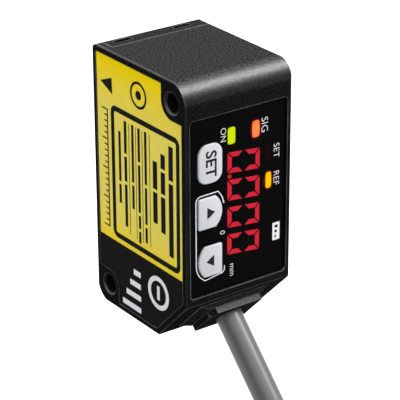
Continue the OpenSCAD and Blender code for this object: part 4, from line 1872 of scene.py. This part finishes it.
    def add_digits(self) -> None:
        """Makes the lit segments of four noughts and the decimal point."""
        lit = Print(PANEL_FACE)
        across, up, gap = self.digit_w / 2, self.digit_h / 2, self.segment_gap
        first = self.digit_z + (self.digits - 1) / 2 * self.pitch
        for i in range(self.digits):
            z = first - i * self.pitch
            for v in (-up, up):
                lit.patch(self.segment(v, gap - across, across - gap, False, z))
            for u in (-across, across):
                lit.patch(self.segment(u, self.middle_gap, up - gap, True, z))
                lit.patch(self.segment(u, gap - up, -self.middle_gap, True, z))
        point = self.spot(self.pitch / 2, (self.stroke - self.digit_h) / 2, first)
        lit.patch(disc(point, self.point_r, 24))
        low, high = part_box("digit_display")
        middle, size = tuple((low + high) / 2), high - low
        half = (size.x * 0.7, size.z * 0.7)
        glow = LitFinish("digit_glow", self.digit_core, 0.35, self.digit_rim, middle, half)
        lit.finish("lit_digits", glow, "segment_red")
        dress_nodes({"digit_segments": glow})

    def print_legends(self) -> None:
        """Prints the white legends, the line round the two arrow keys and the badge."""
        ink = Print(PANEL_FACE, thick=0.012)
        for legend in self.legends:
            ink.letters(legend)
        ink.line(self.key_line, self.key_line_w)
        ink.bar(*self.badge, self.badge_r)
        ink.finish("panel_print_white", INK_WHITE, "key_silver")
        dark = Print(PANEL_FACE)
        for low, high in self.badge_bars:
            dark.bar(low, high)
        dark.finish("panel_print_dark", INK_GREY, "panel_black")


@dataclass
class KeyCap:
    """One press key: a cap with a softened edge, a flange under the panel and a stem.

    Sizes are in millimetres, and places are from the case's corner.

    Attributes:
        node: the CAD node that it stands for.
        body: the body that it moves with.
        z: height of its middle.
        height: height of the cap.
        bulge: 1 or -1 where the side towards +X or -X is round, 0 for a key with round corners.
        x: place of its middle across the panel.
        width: width of the cap.
        corner_r: radius of round corners.
        bulge_r: radius of a round side.
        small_r: radius of the other corners of a cap with a round side.
        face_y: depth of the cap's face.
        back_y: depth of the cap's back, where the flange starts.
        flange_t: thickness of the flange.
        flange_w: width of the flange.
        flange_over: how far the flange reaches past the cap above and below.
        flange_r: radius of the flange's corners.
        stem_d: diameter of the stem.
        stem_end: depth of the stem's end.
        softening: steps of the cap's soft edge from back to front, as (depth, inset).
        arrow: tip, foot and half of the foot's width of a printed arrow, from the key's middle.
        legend_h: height of printed letters.
        legend_weight: how much bolder than plain they are, as a share of that height.
    """

    node: str
    body: str
    z: float
    height: float
    bulge: int
    x: float = 4.75
    width: float = 4.5
    corner_r: float = 1.7
    bulge_r: float = 3.4
    small_r: float = 0.35
    face_y: float = 0.2
    back_y: float = 1.35
    flange_t: float = 0.5
    flange_w: float = 3.0
    flange_over: float = 0.6
    flange_r: float = 0.4
    stem_d: float = 1.4
    stem_end: float = 2.58
    softening: tuple[Point, ...] = (
        *((0.24, 0.0), (0.13, 0.02), (0.06, 0.065), (0.02, 0.13), (0.0, 0.22)),
    )
    arrow: Triple = (0.85, 0.6375, 0.95)
    legend_h: float = 2.0
    legend_weight: float = 0.06

    def outline(self) -> list[Point]:
        """Works out the cap's outline.

        Returns:
            Its points in (x, z), counter-clockwise.
        """
        if not self.bulge:
            return rounded_rect((self.x, self.z), (self.width, self.height), self.corner_r, 8)
        half_w, half_h, r = self.width / 2, self.height / 2, self.small_r
        reach = math.degrees(math.asin(half_h / self.bulge_r))
        points = arc((half_w - self.bulge_r, 0), self.bulge_r, -reach, reach, 18)
        points += arc((r - half_w, half_h - r), r, 90, 180, 4)
        points += arc((r - half_w, r - half_h), r, 180, 270, 4)
        placed = [(self.x + self.bulge * px, self.z + pz) for px, pz in points]
        return placed if self.bulge > 0 else placed[::-1]

    def build(self) -> None:
        """Makes the key and lets it stand for its CAD node."""
        form = bmesh.new()
        outline = self.outline()
        loops = [self.loop(form, outline, self.back_y)]
        for below, in_by in self.softening:
            loops.append(self.loop(form, inset(outline, in_by), self.face_y + below))
        close_loops(form, loops)
        middle = (self.x, self.z)
        size = (self.flange_w, self.height + 2 * self.flange_over)
        stem_start = self.back_y + self.flange_t
        self.block(form, rounded_rect(middle, size, self.flange_r, 4), self.back_y, stem_start)
        self.block(form, disc(middle, self.stem_d / 2, 24), stem_start, self.stem_end)
        key = add_mesh(f"{self.node}_cap", form, rounded=True)
        settle(key, KEY_SILVER, self.body)
        self.print_legend()
        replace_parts(key, self.node)

    @staticmethod
    def loop(form: Form, outline: Iterable[Point], y: float) -> list[bmesh.types.BMVert]:
        """Vertices of an outline at a depth."""
        return [form.verts.new(at(x, y, z)) for x, z in outline]

    def block(self, form: Form, outline: Sequence[Point], front: float, back: float) -> None:
        """Adds a straight block between two depths."""
        close_loops(form, [self.loop(form, outline, y) for y in (front, back)])

    def print_legend(self) -> None:
        """Prints SET on the key with round corners, and an arrow on the others."""
        ink = Print(KEY_FACE, thick=0.012)
        if self.bulge:
            tip, foot, half = self.arrow
            tip_x, foot_x = self.x + tip * self.bulge, self.x - foot * self.bulge
            ink.patch([(tip_x, self.z), (foot_x, self.z + half), (foot_x, self.z - half)])
        else:
            ink.letters(Legend("SET", (self.x, self.z), self.legend_h, self.legend_weight))
        ink.finish(f"{self.node}_legend", INK_GREY, "panel_black", self.body)


KEYS = (
    KeyCap("set_key", "set_key_body", 30.75, 6.4, 0),
    KeyCap("up_key", "up_key_body", 22.7, 5.2, 1),
    KeyCap("down_key", "down_key_body", 14.55, 5.2, -1),
)


def main() -> None:
    """Builds the studio and every sub-assembly in order."""
    logging.basicConfig(level=logging.INFO, format="%(name)s: %(message)s")
    for assembly in (Studio(), Cable(), Housing(), Insides(), SideLabels(), Display(), *KEYS):
        log.info("building %s", type(assembly).__name__)
        assembly.build()


if __name__ == "__main__":
    main()
